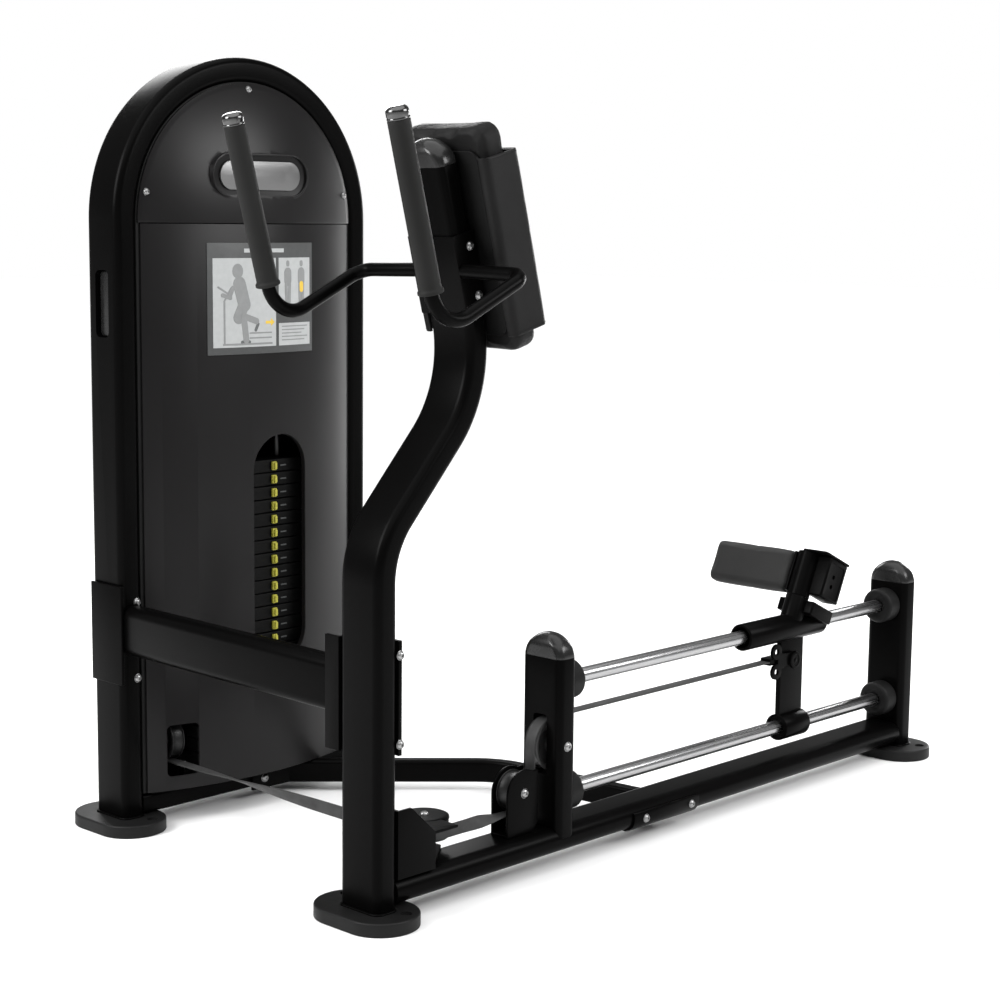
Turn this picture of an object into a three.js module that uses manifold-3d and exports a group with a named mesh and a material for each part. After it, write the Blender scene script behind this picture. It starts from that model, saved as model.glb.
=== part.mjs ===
// Standing rear-kick press machine with a weight tower, a leaning chest pad and a foot pad that
// slides on two horizontal rods. Millimetres, +Z up.
//
// The machine is drawn with its origin on the floor under the chest post: x runs along the rods,
// away from the post, and y runs from the rods towards the weight tower. The last lines move the
// whole group so that the origin is under the middle of its box.

import * as THREE from 'three';
import { mergeVertices } from 'three/addons/utils/BufferGeometryUtils.js';
import Module from 'manifold-3d';

// ---------------------------------------------------------------- driving dimensions

const GAP = 0.3; // left between pieces that touch
const DEG = Math.PI / 180;

const TUBE_WIDE = 100; // rolled frame tube, long side of its section
const TUBE_DEEP = 50; // short side
const TUBE_ROUND = 15; // corner radius

const FOOT_THICK = 25;
const FOOT_ROUND = 70.5;
const FOOT_STRAIGHT = 73;
const FOOT_HOLE = 6;

const FRONT_X = 471; // upright that carries the near ends of the rods
const FAR_X = 1660; // upright that carries the far ends
const UPRIGHT_TOP = 410;
const CAP_HIGH = 47;

const ROD_R = 15;
const ROD_BORE = 15.8;
const UPPER_ROD_Z = 357;
const LOWER_ROD_Z = 137;
const BUMPER_R = 39;
const BUMPER_LONG = 40;

const BEAM_Z = 55;
const BEAM_WIDE = 100;
const BEAM_DEEP = 50;
const BRACE_Z = 44;

const POST_BEND = { z: 673, radius: 170 };
const POST_KNEE = { x: 246, z: 943.5, radius: 230 };
const LEAN = 15 * DEG; // chest pad, grips and top of the post lean back
const POST_TOP = { x: 143.2, z: 1327.3 };

const TOWER_X = 334;
const TOWER_Y = 777;
const TOWER_HALF = 329; // half of the tower's outer width, and the arch's outer radius
const TOWER_TOP = 1555;
const ARCH_Z = TOWER_TOP - TOWER_HALF;
const ARCH_R = TOWER_HALF - TUBE_DEEP / 2;
const ARCH_INNER = TOWER_HALF - TUBE_DEEP;

const SHROUD_HALF = 272;
const SHROUD_BULGE = 50;
const SHROUD_THICK = 3;
const SHROUD_LOW = 70;
const SHROUD_TOP = 1219.5;
const PANEL_R = 277;

const RAIL_TOP = 66;
const PLATES = 22;
const PLATE_PITCH = 28.4;
const PLATE_THICK = 26.4;
const STACK_LOW = 107;
const STACK_TOP = STACK_LOW + PLATES * PLATE_PITCH;
const STACK_Y = 772;
const STACK_HALF = 150;
const STACK_DEEP = 110;
const GUIDE_X = 110;
const GUIDE_R = 10;
const HEAD_LIFT = 257.5; // how far the head plate hangs above the stack

const BELT_WIDE = 25;
const BELT_THICK = 3;
const BELT_Z = 122; // height of the belt's low run
const BELT_X = 136; // the low run's distance along x beside the tower
const TRAVEL_BELT_Z = 290.5;
const PULLEY_WIDE = 31;
const BELT_CLEAR = 1; // a belt's straight facets cut inside its true arc
const UPPER_PULLEY = { x: 470, z: 240, r: 49 };
const LOWER_PULLEY = { x: 381, r: 37 };
const POST_PULLEY = { r: 43 };
const TOWER_PULLEY = { y: 764, r: 43 };
const TOP_PULLEY = { r: 75, z: 1368 };
const HEAD_PULLEY = { r: 43.5 };
const AXLE_R = 8;
const PULLEY_BORE = 8.6;

const CROSSBAR_Z = 414;

const PAD_AT = { x: 196, z: 1201 };
const GRIP_FOOT = { x: -52, y: 203, z: 1116 };
const GRIP_LONG = 283;
const GRIP_R = 19;
const BAR_R = 12.5;

const SLEEVE_R = 29;
const SLEEVE_FROM = 1078;
const SLEEVE_TO = 1357;
const LOW_SLEEVE_FROM = 1215;
const LOW_SLEEVE_TO = 1303;
const WEB_FROM = 1216;
const WEB_TO = 1299;
const PIVOT = { x: 1280, z: 420, r: 25, tilt: 25 * DEG };

// ---------------------------------------------------------------- finishes

function finish(color, roughness, metalness) {
  return new THREE.MeshStandardMaterial({ color, roughness, metalness });
}

const FRAME_PAINT = finish(0x141414, 0.5, 0.3);
const SHROUD_PAINT = finish(0x3a3a3c, 0.45, 0.3);
const CAP_PLASTIC = finish(0x2a2a2b, 0.3, 0);
const STEEL = finish(0xb8b8b8, 0.25, 0.9);
const DARK_STEEL = finish(0x2b2b2b, 0.55, 0.7);
const RUBBER = finish(0x303031, 0.85, 0);
const VINYL = finish(0x1b1a1b, 0.6, 0);
const PULLEY_PLASTIC = finish(0x333333, 0.5, 0);
const BELT_RUBBER = finish(0x3f3f3f, 0.7, 0);
const LEVER_YELLOW = finish(0xd8cc3a, 0.5, 0);
const PLACARD_GREY = finish(0xc8cac9, 0.5, 0);

// ---------------------------------------------------------------- solids

const wasm = await Module();
wasm.setup();

// A geometry as one indexed, closed surface: shared corners merged, empty triangles dropped and
// the faces turned outward.
function closed(geometry) {
  const bare = geometry.clone();
  bare.deleteAttribute('normal');
  bare.deleteAttribute('uv');
  const merged = mergeVertices(bare, 1e-3);
  const index = merged.getIndex().array;
  const place = merged.getAttribute('position');
  const corner = (i) => new THREE.Vector3().fromBufferAttribute(place, i);
  const kept = [];
  let volume = 0;
  for (let i = 0; i < index.length; i += 3) {
    const [a, b, c] = index.slice(i, i + 3);
    if (a === b || b === c || c === a) continue;
    volume += corner(a).dot(corner(b).cross(corner(c)));
    kept.push(a, b, c);
  }
  if (volume < 0) kept.reverse();
  merged.setIndex(kept);
  return merged;
}

function toSolid(geometry) {
  const surface = closed(geometry);
  const vertProperties = new Float32Array(surface.getAttribute('position').array);
  const triVerts = new Uint32Array(surface.getIndex().array);
  return new wasm.Manifold(new wasm.Mesh({ numProp: 3, vertProperties, triVerts }));
}

function toGeometry(solid) {
  const mesh = solid.getMesh();
  const geometry = new THREE.BufferGeometry();
  geometry.setAttribute('position', new THREE.BufferAttribute(mesh.vertProperties, 3));
  geometry.setIndex(new THREE.BufferAttribute(mesh.triVerts, 1));
  return geometry;
}

function join(first, ...others) {
  return toGeometry(others.reduce((sum, next) => sum.add(toSolid(next)), toSolid(first)));
}

function cut(body, ...tools) {
  return toGeometry(tools.reduce((left, tool) => left.subtract(toSolid(tool)), toSolid(body)));
}

function common(body, tool) {
  return toGeometry(toSolid(body).intersect(toSolid(tool)));
}

function piece(name, geometry, look) {
  const mesh = new THREE.Mesh(closed(geometry), look);
  mesh.name = name;
  return mesh;
}

function box(xs, ys, zs) {
  const size = [xs, ys, zs].map(([low, high]) => high - low);
  const middle = [xs, ys, zs].map(([low, high]) => (low + high) / 2);
  return new THREE.BoxGeometry(...size).translate(...middle);
}

// Turns a solid drawn along +Y so that it lies along the named axis.
function layAlong(geometry, axis) {
  if (axis === 'x') return geometry.rotateZ(-Math.PI / 2);
  if (axis === 'z') return geometry.rotateX(Math.PI / 2);
  return geometry;
}

function rod(axis, radius, low, high, centre, sides = 14) {
  const geometry = layAlong(new THREE.CylinderGeometry(radius, radius, high - low, sides), axis);
  const middle = { ...centre, [axis]: (low + high) / 2 };
  return geometry.translate(middle.x, middle.y, middle.z);
}

// A turned piece: profile points are [radius, distance along the axis].
function turned(axis, profile, centre, sides = 18) {
  const points = profile.map(([r, h]) => new THREE.Vector2(r, h));
  const geometry = layAlong(new THREE.LatheGeometry(points, sides), axis);
  return geometry.translate(centre.x, centre.y, centre.z);
}

function boltHead(axis, side, centre, radius = 9) {
  const profile = [[0, -1], [radius, -1], [radius, 2], [0, 6]];
  return turned(axis, profile.map(([r, h]) => [r, h * side]), centre, 8);
}

function roundedRect(width, height, radius) {
  const x = width / 2 - radius;
  const y = height / 2 - radius;
  const shape = new THREE.Shape();
  shape.absarc(x, y, radius, 0, Math.PI / 2);
  shape.absarc(-x, y, radius, Math.PI / 2, Math.PI);
  shape.absarc(-x, -y, radius, Math.PI, Math.PI * 1.5);
  shape.absarc(x, -y, radius, Math.PI * 1.5, Math.PI * 2);
  return shape;
}

function polygon(...corners) {
  return new THREE.Shape(corners.map(([x, y]) => new THREE.Vector2(x, y)));
}

const X = new THREE.Vector3(1, 0, 0);
const Y = new THREE.Vector3(0, 1, 0);
const Z = new THREE.Vector3(0, 0, 1);

// A straight bar of the given section. The section's two axes are y, z for a bar along x;
// x, z for a bar along y; and x, y for a bar along z.
function bar(axis, shape, low, high, centre = {}, curveSegments = 1) {
  const depth = high - low;
  const geometry = new THREE.ExtrudeGeometry(shape, { depth, bevelEnabled: false, curveSegments });
  if (axis === 'x') geometry.applyMatrix4(new THREE.Matrix4().makeBasis(Y, Z, X));
  if (axis === 'y') geometry.applyMatrix4(new THREE.Matrix4().makeBasis(X, Z, Y.clone().negate()));
  const start = axis === 'y' ? high : low;
  const offset = { x: 0, y: 0, z: 0, ...centre, [axis]: start };
  return geometry.translate(offset.x, offset.y, offset.z);
}

// A path through the given points, one section at each. Sides, where given, are the directions of
// the section's first axis, so that a flat belt can twist on its way.
class PointPath extends THREE.Curve {
  constructor(points, sides = null) {
    super();
    this.points = points;
    this.sides = sides;
  }

  getPoint(t) {
    const at = Math.round(t * (this.points.length - 1));
    return this.points[at].clone();
  }

  getPointAt(u) {
    return this.getPoint(u);
  }

  getTangentAt(u) {
    const last = this.points.length - 1;
    const at = Math.round(u * last);
    const before = this.points[Math.max(at - 1, 0)];
    const after = this.points[Math.min(at + 1, last)];
    return after.clone().sub(before).normalize();
  }

  computeFrenetFrames(segments, isClosed) {
    if (!this.sides) return super.computeFrenetFrames(segments, isClosed);
    const tangents = this.points.map((_, i) => this.getTangentAt(i / segments));
    const normals = this.sides.map((side, i) => {
      const along = tangents[i].clone().multiplyScalar(side.dot(tangents[i]));
      return side.clone().sub(along).normalize();
    });
    const binormals = tangents.map((tangent, i) => tangent.clone().cross(normals[i]));
    return { tangents, normals, binormals };
  }
}

function sweep(shape, points, sides = null, curveSegments = 1) {
  const extrudePath = new PointPath(points, sides);
  const steps = points.length - 1;
  return new THREE.ExtrudeGeometry(shape, { steps, extrudePath, curveSegments });
}

// Points along straight runs joined by arcs. Each corner is { at, radius }.
function filleted(start, corners, end, stepAngle = 9 * DEG) {
  const stops = [start, ...corners.map((corner) => corner.at), end];
  const points = [start];
  corners.forEach(({ radius }, i) => {
    const vertex = stops[i + 1];
    const arriving = vertex.clone().sub(stops[i]).normalize();
    const leaving = stops[i + 2].clone().sub(vertex).normalize();
    const turn = arriving.angleTo(leaving);
    const reach = radius * Math.tan(turn / 2);
    const from = vertex.clone().addScaledVector(arriving, -reach);
    const axis = arriving.clone().cross(leaving).normalize();
    const inward = axis.clone().cross(arriving);
    const centre = from.clone().addScaledVector(inward, radius);
    const steps = Math.max(2, Math.ceil(turn / stepAngle));
    for (let step = 0; step <= steps; step += 1) {
      const spoke = from.clone().sub(centre).applyAxisAngle(axis, (turn * step) / steps);
      points.push(centre.clone().add(spoke));
    }
  });
  points.push(end);
  return points;
}

const tubeSection = roundedRect(TUBE_WIDE, TUBE_DEEP, TUBE_ROUND);

// ---------------------------------------------------------------- frame

function foot(name, x, y) {
  const outline = roundedRect(FOOT_ROUND * 2, FOOT_ROUND * 2 + FOOT_STRAIGHT, FOOT_ROUND - 0.01);
  const holes = [-1, 1].map((side) => ({ x: 22, y: side * (FOOT_STRAIGHT / 2 + 42) }));
  holes.forEach((hole) => {
    outline.holes.push(new THREE.Path().absarc(hole.x, hole.y, FOOT_HOLE, 0, Math.PI * 2, true));
  });
  return piece(name, bar('z', outline, 0, FOOT_THICK, { x, y }, 3), RUBBER);
}

// A thumb-shaped plug on the end of a frame tube, drawn with its seat at z = 0.
function tubeCap() {
  const block = bar('z', roundedRect(TUBE_DEEP, TUBE_WIDE, TUBE_ROUND), 0, CAP_HIGH, {}, 3);
  const wide = new THREE.Shape();
  wide.absellipse(0, 0, TUBE_WIDE / 2, CAP_HIGH - 0.2, 0, Math.PI);
  wide.lineTo(-TUBE_WIDE / 2, -1);
  wide.lineTo(TUBE_WIDE / 2, -1);
  const deep = new THREE.Shape();
  const straight = CAP_HIGH - TUBE_DEEP / 2 - 0.2;
  deep.absarc(0, straight, TUBE_DEEP / 2, 0, Math.PI);
  deep.lineTo(-TUBE_DEEP / 2, -1);
  deep.lineTo(TUBE_DEEP / 2, -1);
  const alongX = bar('x', wide, -TUBE_DEEP, TUBE_DEEP, {}, 8);
  const alongY = bar('y', deep, -TUBE_WIDE, TUBE_WIDE, {}, 5);
  return common(common(block, alongX), alongY);
}

function post() {
  const start = new THREE.Vector3(0, 0, FOOT_THICK + GAP);
  const corners = [
    { at: new THREE.Vector3(0, 0, POST_BEND.z), radius: POST_BEND.radius },
    { at: new THREE.Vector3(POST_KNEE.x, 0, POST_KNEE.z), radius: POST_KNEE.radius },
  ];
  const end = new THREE.Vector3(POST_TOP.x, 0, POST_TOP.z);
  const tube = sweep(tubeSection, filleted(start, corners, end, 8 * DEG));
  const cap = tubeCap().translate(0, 0, GAP).rotateY(-LEAN).translate(end.x, 0, end.z);
  return [
    foot('post_foot', 3, 7),
    piece('chest_post', tube, FRAME_PAINT),
    piece('post_cap', cap, CAP_PLASTIC),
  ];
}

function stadium(grow = 0) {
  const radius = BEAM_DEEP / 2 + grow;
  return roundedRect(BEAM_WIDE + 2 * grow, 2 * radius, radius - 0.01);
}

function baseBeam() {
  const from = TUBE_DEEP / 2 + GAP;
  const to = FAR_X - TUBE_DEEP / 2 - GAP;
  return piece('base_beam', bar('x', stadium(), from, to, { z: BEAM_Z }), FRAME_PAINT);
}

// The saddle clipped around the beam where the diagonal brace meets it.
function beamSaddle() {
  const from = 670;
  const to = 876;
  const outer = bar('x', stadium(5), from, to, { z: BEAM_Z });
  const inner = bar('x', stadium(GAP), from - 1, to + 1, { z: BEAM_Z });
  const above = box([from - 1, to + 1], [-60, 60], [BEAM_Z + 11, BEAM_Z + 40]);
  const shell = cut(outer, inner, above);
  const heads = [from + 35, to - 25].flatMap((x) => [
    boltHead('y', -1, { x, y: -BEAM_WIDE / 2 - 4.6, z: BEAM_Z - 4 }, 8),
  ]);
  return piece('beam_saddle', join(shell, ...heads), FRAME_PAINT);
}

function diagonalBrace() {
  const section = roundedRect(50, 30, 9);
  const z = BRACE_Z;
  const railFace = TOWER_Y - 45 - GAP;
  const start = new THREE.Vector3(440, railFace + 10, z);
  const corner = { at: new THREE.Vector3(772, 416, z), radius: 150 };
  const end = new THREE.Vector3(812, BEAM_WIDE / 2, z);
  const tube = sweep(section, filleted(start, [corner], end, 7 * DEG));
  const flange = box([335, 490], [railFace - 8, railFace], [z - 23, z + 23]);
  const head = boltHead('y', -1, { x: 368, y: railFace - 8, z }, 9);
  const nearBeam = bar('x', stadium(6), 600, 1000, { z: BEAM_Z });
  const nearRail = box([200, 700], [railFace, TOWER_Y + 60], [0, 200]);
  const trimmed = cut(tube, nearBeam, nearRail);
  return piece('diagonal_brace', join(trimmed, flange, head), FRAME_PAINT);
}

function uprights() {
  const section = roundedRect(TUBE_DEEP, TUBE_WIDE, TUBE_ROUND);
  const far = bar('z', section, FOOT_THICK + GAP, UPRIGHT_TOP, { x: FAR_X });
  const near = bar('z', section, BEAM_Z + 6, UPRIGHT_TOP, { x: FRONT_X });
  const cope = bar('x', stadium(GAP), FRONT_X - 60, FRONT_X + 60, { z: BEAM_Z });
  const slotHalf = PULLEY_WIDE / 2 + 2;
  const slot = box([FRONT_X - 40, FRONT_X + 40], [-slotHalf, slotHalf], [184, 300]);
  const axle = rod('y', AXLE_R, -slotHalf - 1, slotHalf + 1, UPPER_PULLEY, 12);
  const heads = [-1, 1].map((side) =>
    boltHead('y', side, { x: UPPER_PULLEY.x, y: (side * TUBE_WIDE) / 2, z: UPPER_PULLEY.z }),
  );
  const capAt = (x) => tubeCap().translate(x, 0, UPRIGHT_TOP + GAP);
  return [
    piece('front_upright', join(cut(near, cope, slot), axle, ...heads), FRAME_PAINT),
    piece('front_upright_cap', capAt(FRONT_X), CAP_PLASTIC),
    piece('far_upright', far, FRAME_PAINT),
    piece('far_upright_cap', capAt(FAR_X), CAP_PLASTIC),
    foot('far_foot', FAR_X, 3),
  ];
}

function rodsAndBumpers() {
  const nearFace = FRONT_X + TUBE_DEEP / 2 + GAP;
  const farFace = FAR_X - TUBE_DEEP / 2 - GAP;
  const profile = [
    [ROD_BORE, 0],
    [BUMPER_R, 0],
    [BUMPER_R, BUMPER_LONG - 6],
    [BUMPER_R - 6, BUMPER_LONG],
    [ROD_BORE, BUMPER_LONG],
    [ROD_BORE, 0],
  ];
  const flipped = profile.map(([r, h]) => [r, -h]);
  const levels = { upper: UPPER_ROD_Z, lower: LOWER_ROD_Z };
  return Object.entries(levels).flatMap(([level, z]) => [
    piece(`${level}_rod`, rod('x', ROD_R, nearFace, farFace, { y: 0, z }, 20), STEEL),
    piece(`${level}_near_bumper`, turned('x', profile, { x: nearFace, y: 0, z }), RUBBER),
    piece(`${level}_far_bumper`, turned('x', flipped, { x: farFace, y: 0, z }), RUBBER),
  ]);
}

// ---------------------------------------------------------------- crossbar

const CROSSBAR_POST_END = new THREE.Vector3(9, 62, CROSSBAR_Z);
const CROSSBAR_TOWER_END = new THREE.Vector3(30, TOWER_Y - TUBE_WIDE / 2 - 1.2, CROSSBAR_Z);

function crossbar() {
  const section = roundedRect(TUBE_WIDE, TUBE_DEEP, 20);
  const bent = sweep(section, [CROSSBAR_POST_END, CROSSBAR_TOWER_END]);
  return piece('crossbar', bent, FRAME_PAINT);
}

// Plate on the tower side of the post, with two cheeks that hold the crossbar between them. The
// far cheek also runs along the post.
function crossbarSaddle() {
  const zs = [305, 510];
  const face = TUBE_WIDE / 2 + GAP;
  const base = box([-25, 43], [face, face + 6], zs);
  const nearCheek = box([-25, -18.5], [face, 86], zs);
  const farCheek = box([36.5, 43], [face, 86], zs);
  const corner = box([25 + GAP, 43], [face - 8, face + 6], zs);
  const stiffener = box([25 + GAP, 33], [-TUBE_WIDE / 2, face], zs);
  const heads = [325, 484].map((z) => boltHead('y', -1, { x: 29, y: -TUBE_WIDE / 2, z }, 8));
  const bracket = join(base, nearCheek, farCheek, corner, stiffener, ...heads);
  return piece('crossbar_saddle', bracket, FRAME_PAINT);
}

function crossbarAnchor() {
  const zs = [305, 505];
  const legFace = TOWER_X - TOWER_HALF - GAP;
  const plate = box([legFace - 7, legFace], [TOWER_Y - 58, TOWER_Y + 44], zs);
  const ear = box([legFace - 7, legFace + 6], [TOWER_Y - 58, TOWER_Y - 50 - GAP], zs);
  const crossClear = box([-30, 62], [600, TOWER_Y], [CROSSBAR_Z - 52, CROSSBAR_Z + 52]);
  const heads = [322, 484].map((z) => boltHead('x', -1, { x: legFace - 7, y: TOWER_Y, z }, 8));
  return piece('crossbar_anchor', join(plate, cut(ear, crossClear), ...heads), FRAME_PAINT);
}

// ---------------------------------------------------------------- tower

function towerFrame() {
  const left = TOWER_X - ARCH_R;
  const right = TOWER_X + ARCH_R;
  const points = [new THREE.Vector3(left, TOWER_Y, FOOT_THICK + GAP)];
  const steps = 28;
  for (let step = 0; step <= steps; step += 1) {
    const angle = Math.PI - (Math.PI * step) / steps;
    const x = TOWER_X + ARCH_R * Math.cos(angle);
    points.push(new THREE.Vector3(x, TOWER_Y, ARCH_Z + ARCH_R * Math.sin(angle)));
  }
  points.push(new THREE.Vector3(right, TOWER_Y, FOOT_THICK + GAP));
  const arch = sweep(tubeSection, points);
  const pockets = [-1, 1].map((side) => {
    const face = TOWER_X + side * TOWER_HALF;
    const section = roundedRect(42, 132, 12);
    return bar('x', section, face - 16, face + 16, { y: TOWER_Y, z: 1062 });
  });
  return [
    piece('tower_arch_frame', cut(arch, ...pockets), FRAME_PAINT),
    foot('tower_left_foot', left, TOWER_Y),
    foot('tower_right_foot', right, TOWER_Y),
  ];
}

function towerInside(width) {
  return rod('y', ARCH_INNER - 1.5, TOWER_Y - width, TOWER_Y + width, { x: TOWER_X, z: ARCH_Z }, 44);
}

// The rail across the tower's feet, with the rubber-topped seats of the stack and the pulley's
// bracket welded on.
function towerBase() {
  const half = ARCH_INNER - GAP;
  const section = roundedRect(90, RAIL_TOP - 26, 8);
  const centre = { y: TOWER_Y, z: (RAIL_TOP + 26) / 2 };
  const rail = bar('x', section, TOWER_X - half, TOWER_X + half, centre);
  const base = join(rail, ...stackSeats(), ...towerPulleyBracket());
  return piece('tower_base', base, FRAME_PAINT);
}

function guideRods() {
  return [-1, 1].map((side) => {
    const name = side < 0 ? 'left_guide_rod' : 'right_guide_rod';
    const centre = { x: TOWER_X + side * GUIDE_X, y: STACK_Y };
    return piece(name, rod('z', GUIDE_R, RAIL_TOP + GAP, GUIDE_TOP - GAP, centre, 10), STEEL);
  });
}

const GUIDE_TOP = 1264;
const HEAD_BELT_HALF = HEAD_PULLEY.r + BELT_THICK / 2;
const HEAD_BELT_X = TOWER_X - HEAD_BELT_HALF;

// The bar across the arch that holds the tops of the guide rods and the end of the belt, and the
// plate above it that carries the top pulley.
function towerTopFrame() {
  const wide = box([TOWER_X - 300, TOWER_X + 300], [752, 792], [GUIDE_TOP, GUIDE_TOP + 20]);
  const slots = [BELT_X, HEAD_BELT_X].map((x) =>
    box([x - 6, x + 6], [STACK_Y - 16, STACK_Y + 16], [GUIDE_TOP - 5, GUIDE_TOP + 25]),
  );
  const back = STACK_Y + PULLEY_WIDE / 2 + 6;
  const plate = box([TOWER_X - 300, TOWER_X + 300], [back, back + 7], [1330, 1390]);
  const centre = { x: TOP_PULLEY_X, z: TOP_PULLEY.z };
  const axle = rod('y', AXLE_R, STACK_Y - PULLEY_WIDE / 2 - 3, back + 2, centre, 12);
  const straps = [-150, 150].map((offset) => {
    const xs = [TOWER_X + offset - 15, TOWER_X + offset + 15];
    return box(xs, [788, back + 7], [GUIDE_TOP + 2, 1340]);
  });
  const welded = join(common(wide, towerInside(60)), common(plate, towerInside(60)), ...straps, axle);
  return piece('tower_top_frame', cut(welded, ...slots), FRAME_PAINT);
}

const TOP_PULLEY_X = BELT_X + TOP_PULLEY.r + BELT_THICK / 2;

// Plan of the bulging shroud: an arc of its outer face, the same arc inset by the thickness, and
// straight ends. The side is -1 for the front and 1 for the back.
function shroudArc(half, outset, thick, side) {
  const radius = (SHROUD_HALF ** 2 + SHROUD_BULGE ** 2) / (2 * SHROUD_BULGE);
  const outer = radius + outset;
  const inner = outer - thick;
  const spread = Math.asin(half / radius);
  const middle = (side * Math.PI) / 2;
  const shape = new THREE.Shape();
  shape.absarc(0, 0, outer, middle - spread, middle + spread, false);
  shape.absarc(0, 0, inner, middle + spread, middle - spread, true);
  const faceY = TOWER_Y + (side * TUBE_WIDE) / 2;
  const centre = { x: TOWER_X, y: faceY + side * (SHROUD_BULGE - radius) };
  return { shape, centre };
}

function slotShape(width, height) {
  return roundedRect(width, height, Math.min(width, height) / 2 - 0.01);
}

function shrouds() {
  const front = shroudArc(SHROUD_HALF, 0, SHROUD_THICK, -1);
  const back = shroudArc(SHROUD_HALF, 0, SHROUD_THICK, 1);
  const skin = bar('z', front.shape, SHROUD_LOW, SHROUD_TOP, front.centre, 8);
  const slot = bar('y', slotShape(147, 489), 600, 760, { x: 377.5, z: 544.5 }, 4);
  const beltHole = box([BELT_X - 34, BELT_X + 34], [600, 760], [99, 206]);
  const backSkin = bar('z', back.shape, SHROUD_LOW, SHROUD_TOP, back.centre, 8);
  return [
    piece('lower_front_shroud', cut(skin, slot, beltHole), SHROUD_PAINT),
    piece('rear_shroud', join(backSkin, archPanel(1, SHROUD_TOP - 8)), SHROUD_PAINT),
  ];
}

// The domed half-round panel that fills the arch above the given height.
function archPanel(side, low) {
  const rim = TOWER_Y + (side * TUBE_WIDE) / 2;
  const crown = rim + side * SHROUD_BULGE;
  const bands = 3;
  const face = [];
  for (let band = 0; band <= bands; band += 1) {
    const share = band / bands;
    face.push([PANEL_R * share, crown - side * SHROUD_BULGE * share ** 2]);
  }
  const inside = face.map(([r, y]) => [r, y - side * SHROUD_THICK]).reverse();
  const dome = turned('y', [...face, ...inside], { x: TOWER_X, y: 0, z: ARCH_Z }, 32);
  const upper = box([0, 700], [600, 950], [low, 1600]);
  return common(dome, upper);
}

const BADGE = { width: 242, height: 80, z: 1317, deep: 12 };

function archPanels() {
  const front = TOWER_Y - TUBE_WIDE / 2 - SHROUD_BULGE;
  const badgeAt = { x: TOWER_X, z: BADGE.z };
  const tray = bar('y', slotShape(BADGE.width + 8, BADGE.height + 8), front + 6, front + 18, badgeAt, 4);
  const pocket = bar('y', slotShape(BADGE.width, BADGE.height), front - 5, front + BADGE.deep, badgeAt, 4);
  const screws = [12, 90, 168].map((angle) => {
    const x = TOWER_X + (PANEL_R - 13) * Math.cos(angle * DEG);
    const z = ARCH_Z + (PANEL_R - 13) * Math.sin(angle * DEG);
    return boltHead('y', -1, { x, y: front + SHROUD_BULGE - 5, z }, 7);
  });
  const panel = cut(join(archPanel(-1, SHROUD_TOP + 2), tray), pocket);
  const plate = slotShape(208, 58);
  const deep = front + BADGE.deep - GAP;
  return [
    piece('upper_front_panel', join(panel, ...screws), SHROUD_PAINT),
    piece('badge_plate', bar('y', plate, deep - 4, deep, badgeAt, 4), STEEL),
  ];
}

function placard() {
  const { shape, centre } = shroudArc(138, GAP + 1.5, 1.5, -1);
  return piece('instruction_placard', bar('z', shape, 957, 1182, centre, 4), PLACARD_GREY);
}

// ---------------------------------------------------------------- weight stack

function stackShaft(z) {
  const inset = 8;
  const xs = [TOWER_X - STACK_HALF + inset, TOWER_X + STACK_HALF - inset];
  const ys = [STACK_Y - STACK_DEEP / 2 + inset, STACK_Y + STACK_DEEP / 2 - inset];
  return box(xs, ys, z);
}

function weightStack() {
  const xs = [TOWER_X - STACK_HALF, TOWER_X + STACK_HALF];
  const ys = [STACK_Y - STACK_DEEP / 2, STACK_Y + STACK_DEEP / 2];
  const plates = [];
  for (let plate = 0; plate < PLATES; plate += 1) {
    const z = STACK_LOW + plate * PLATE_PITCH;
    plates.push(box(xs, ys, [z, z + PLATE_THICK]));
  }
  const body = join(stackShaft([STACK_LOW + 1, STACK_TOP - PLATE_PITCH + 1]), ...plates);
  const holes = [-GUIDE_X, 0, GUIDE_X].map((x) =>
    rod('z', GUIDE_R + 2.5, STACK_LOW - 5, STACK_TOP + 5, { x: TOWER_X + x, y: STACK_Y }, 10),
  );
  return piece('weight_stack', cut(body, ...holes), DARK_STEEL);
}

// One lock lever on each plate. The top ones are separate pieces that slide to engage.
const LEVER_X = 388;
const LEVER_FACE = STACK_Y - STACK_DEEP / 2 - GAP;
const LOOSE_LEVERS = 2;

function lever(plate) {
  const z = STACK_LOW + plate * PLATE_PITCH + PLATE_THICK / 2;
  const xs = [LEVER_X - 6, LEVER_X + 6];
  return box(xs, [LEVER_FACE - 12, LEVER_FACE], [z - 9, z + 9]);
}

function lockLevers() {
  const fixed = PLATES - LOOSE_LEVERS;
  const top = STACK_LOW + fixed * PLATE_PITCH - 3;
  const strip = box([LEVER_X - 9, LEVER_X + 9], [LEVER_FACE - 2.5, LEVER_FACE], [STACK_LOW + 3, top]);
  const fixedLevers = [];
  for (let plate = 0; plate < fixed; plate += 1) fixedLevers.push(lever(plate));
  const loose = [];
  for (let plate = fixed; plate < PLATES; plate += 1) {
    loose.push(piece(`lock_lever_${PLATES - plate}`, lever(plate), LEVER_YELLOW));
  }
  return [piece('lock_lever_strip', join(strip, ...fixedLevers), LEVER_YELLOW), ...loose];
}

function stackSeats() {
  const profile = [[GUIDE_R + 1, RAIL_TOP - 1], [28, RAIL_TOP - 1], [24, STACK_LOW - GAP]];
  profile.push([GUIDE_R + 1, STACK_LOW - GAP], profile[0]);
  return [-1, 1].map((side) =>
    turned('z', profile, { x: TOWER_X + side * GUIDE_X, y: STACK_Y, z: 0 }, 12),
  );
}

const HEAD_Z = STACK_TOP + 1 + HEAD_LIFT;
const HEAD_THICK = 30;
const HEAD_PULLEY_Z = HEAD_Z + HEAD_THICK + 62;

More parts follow.
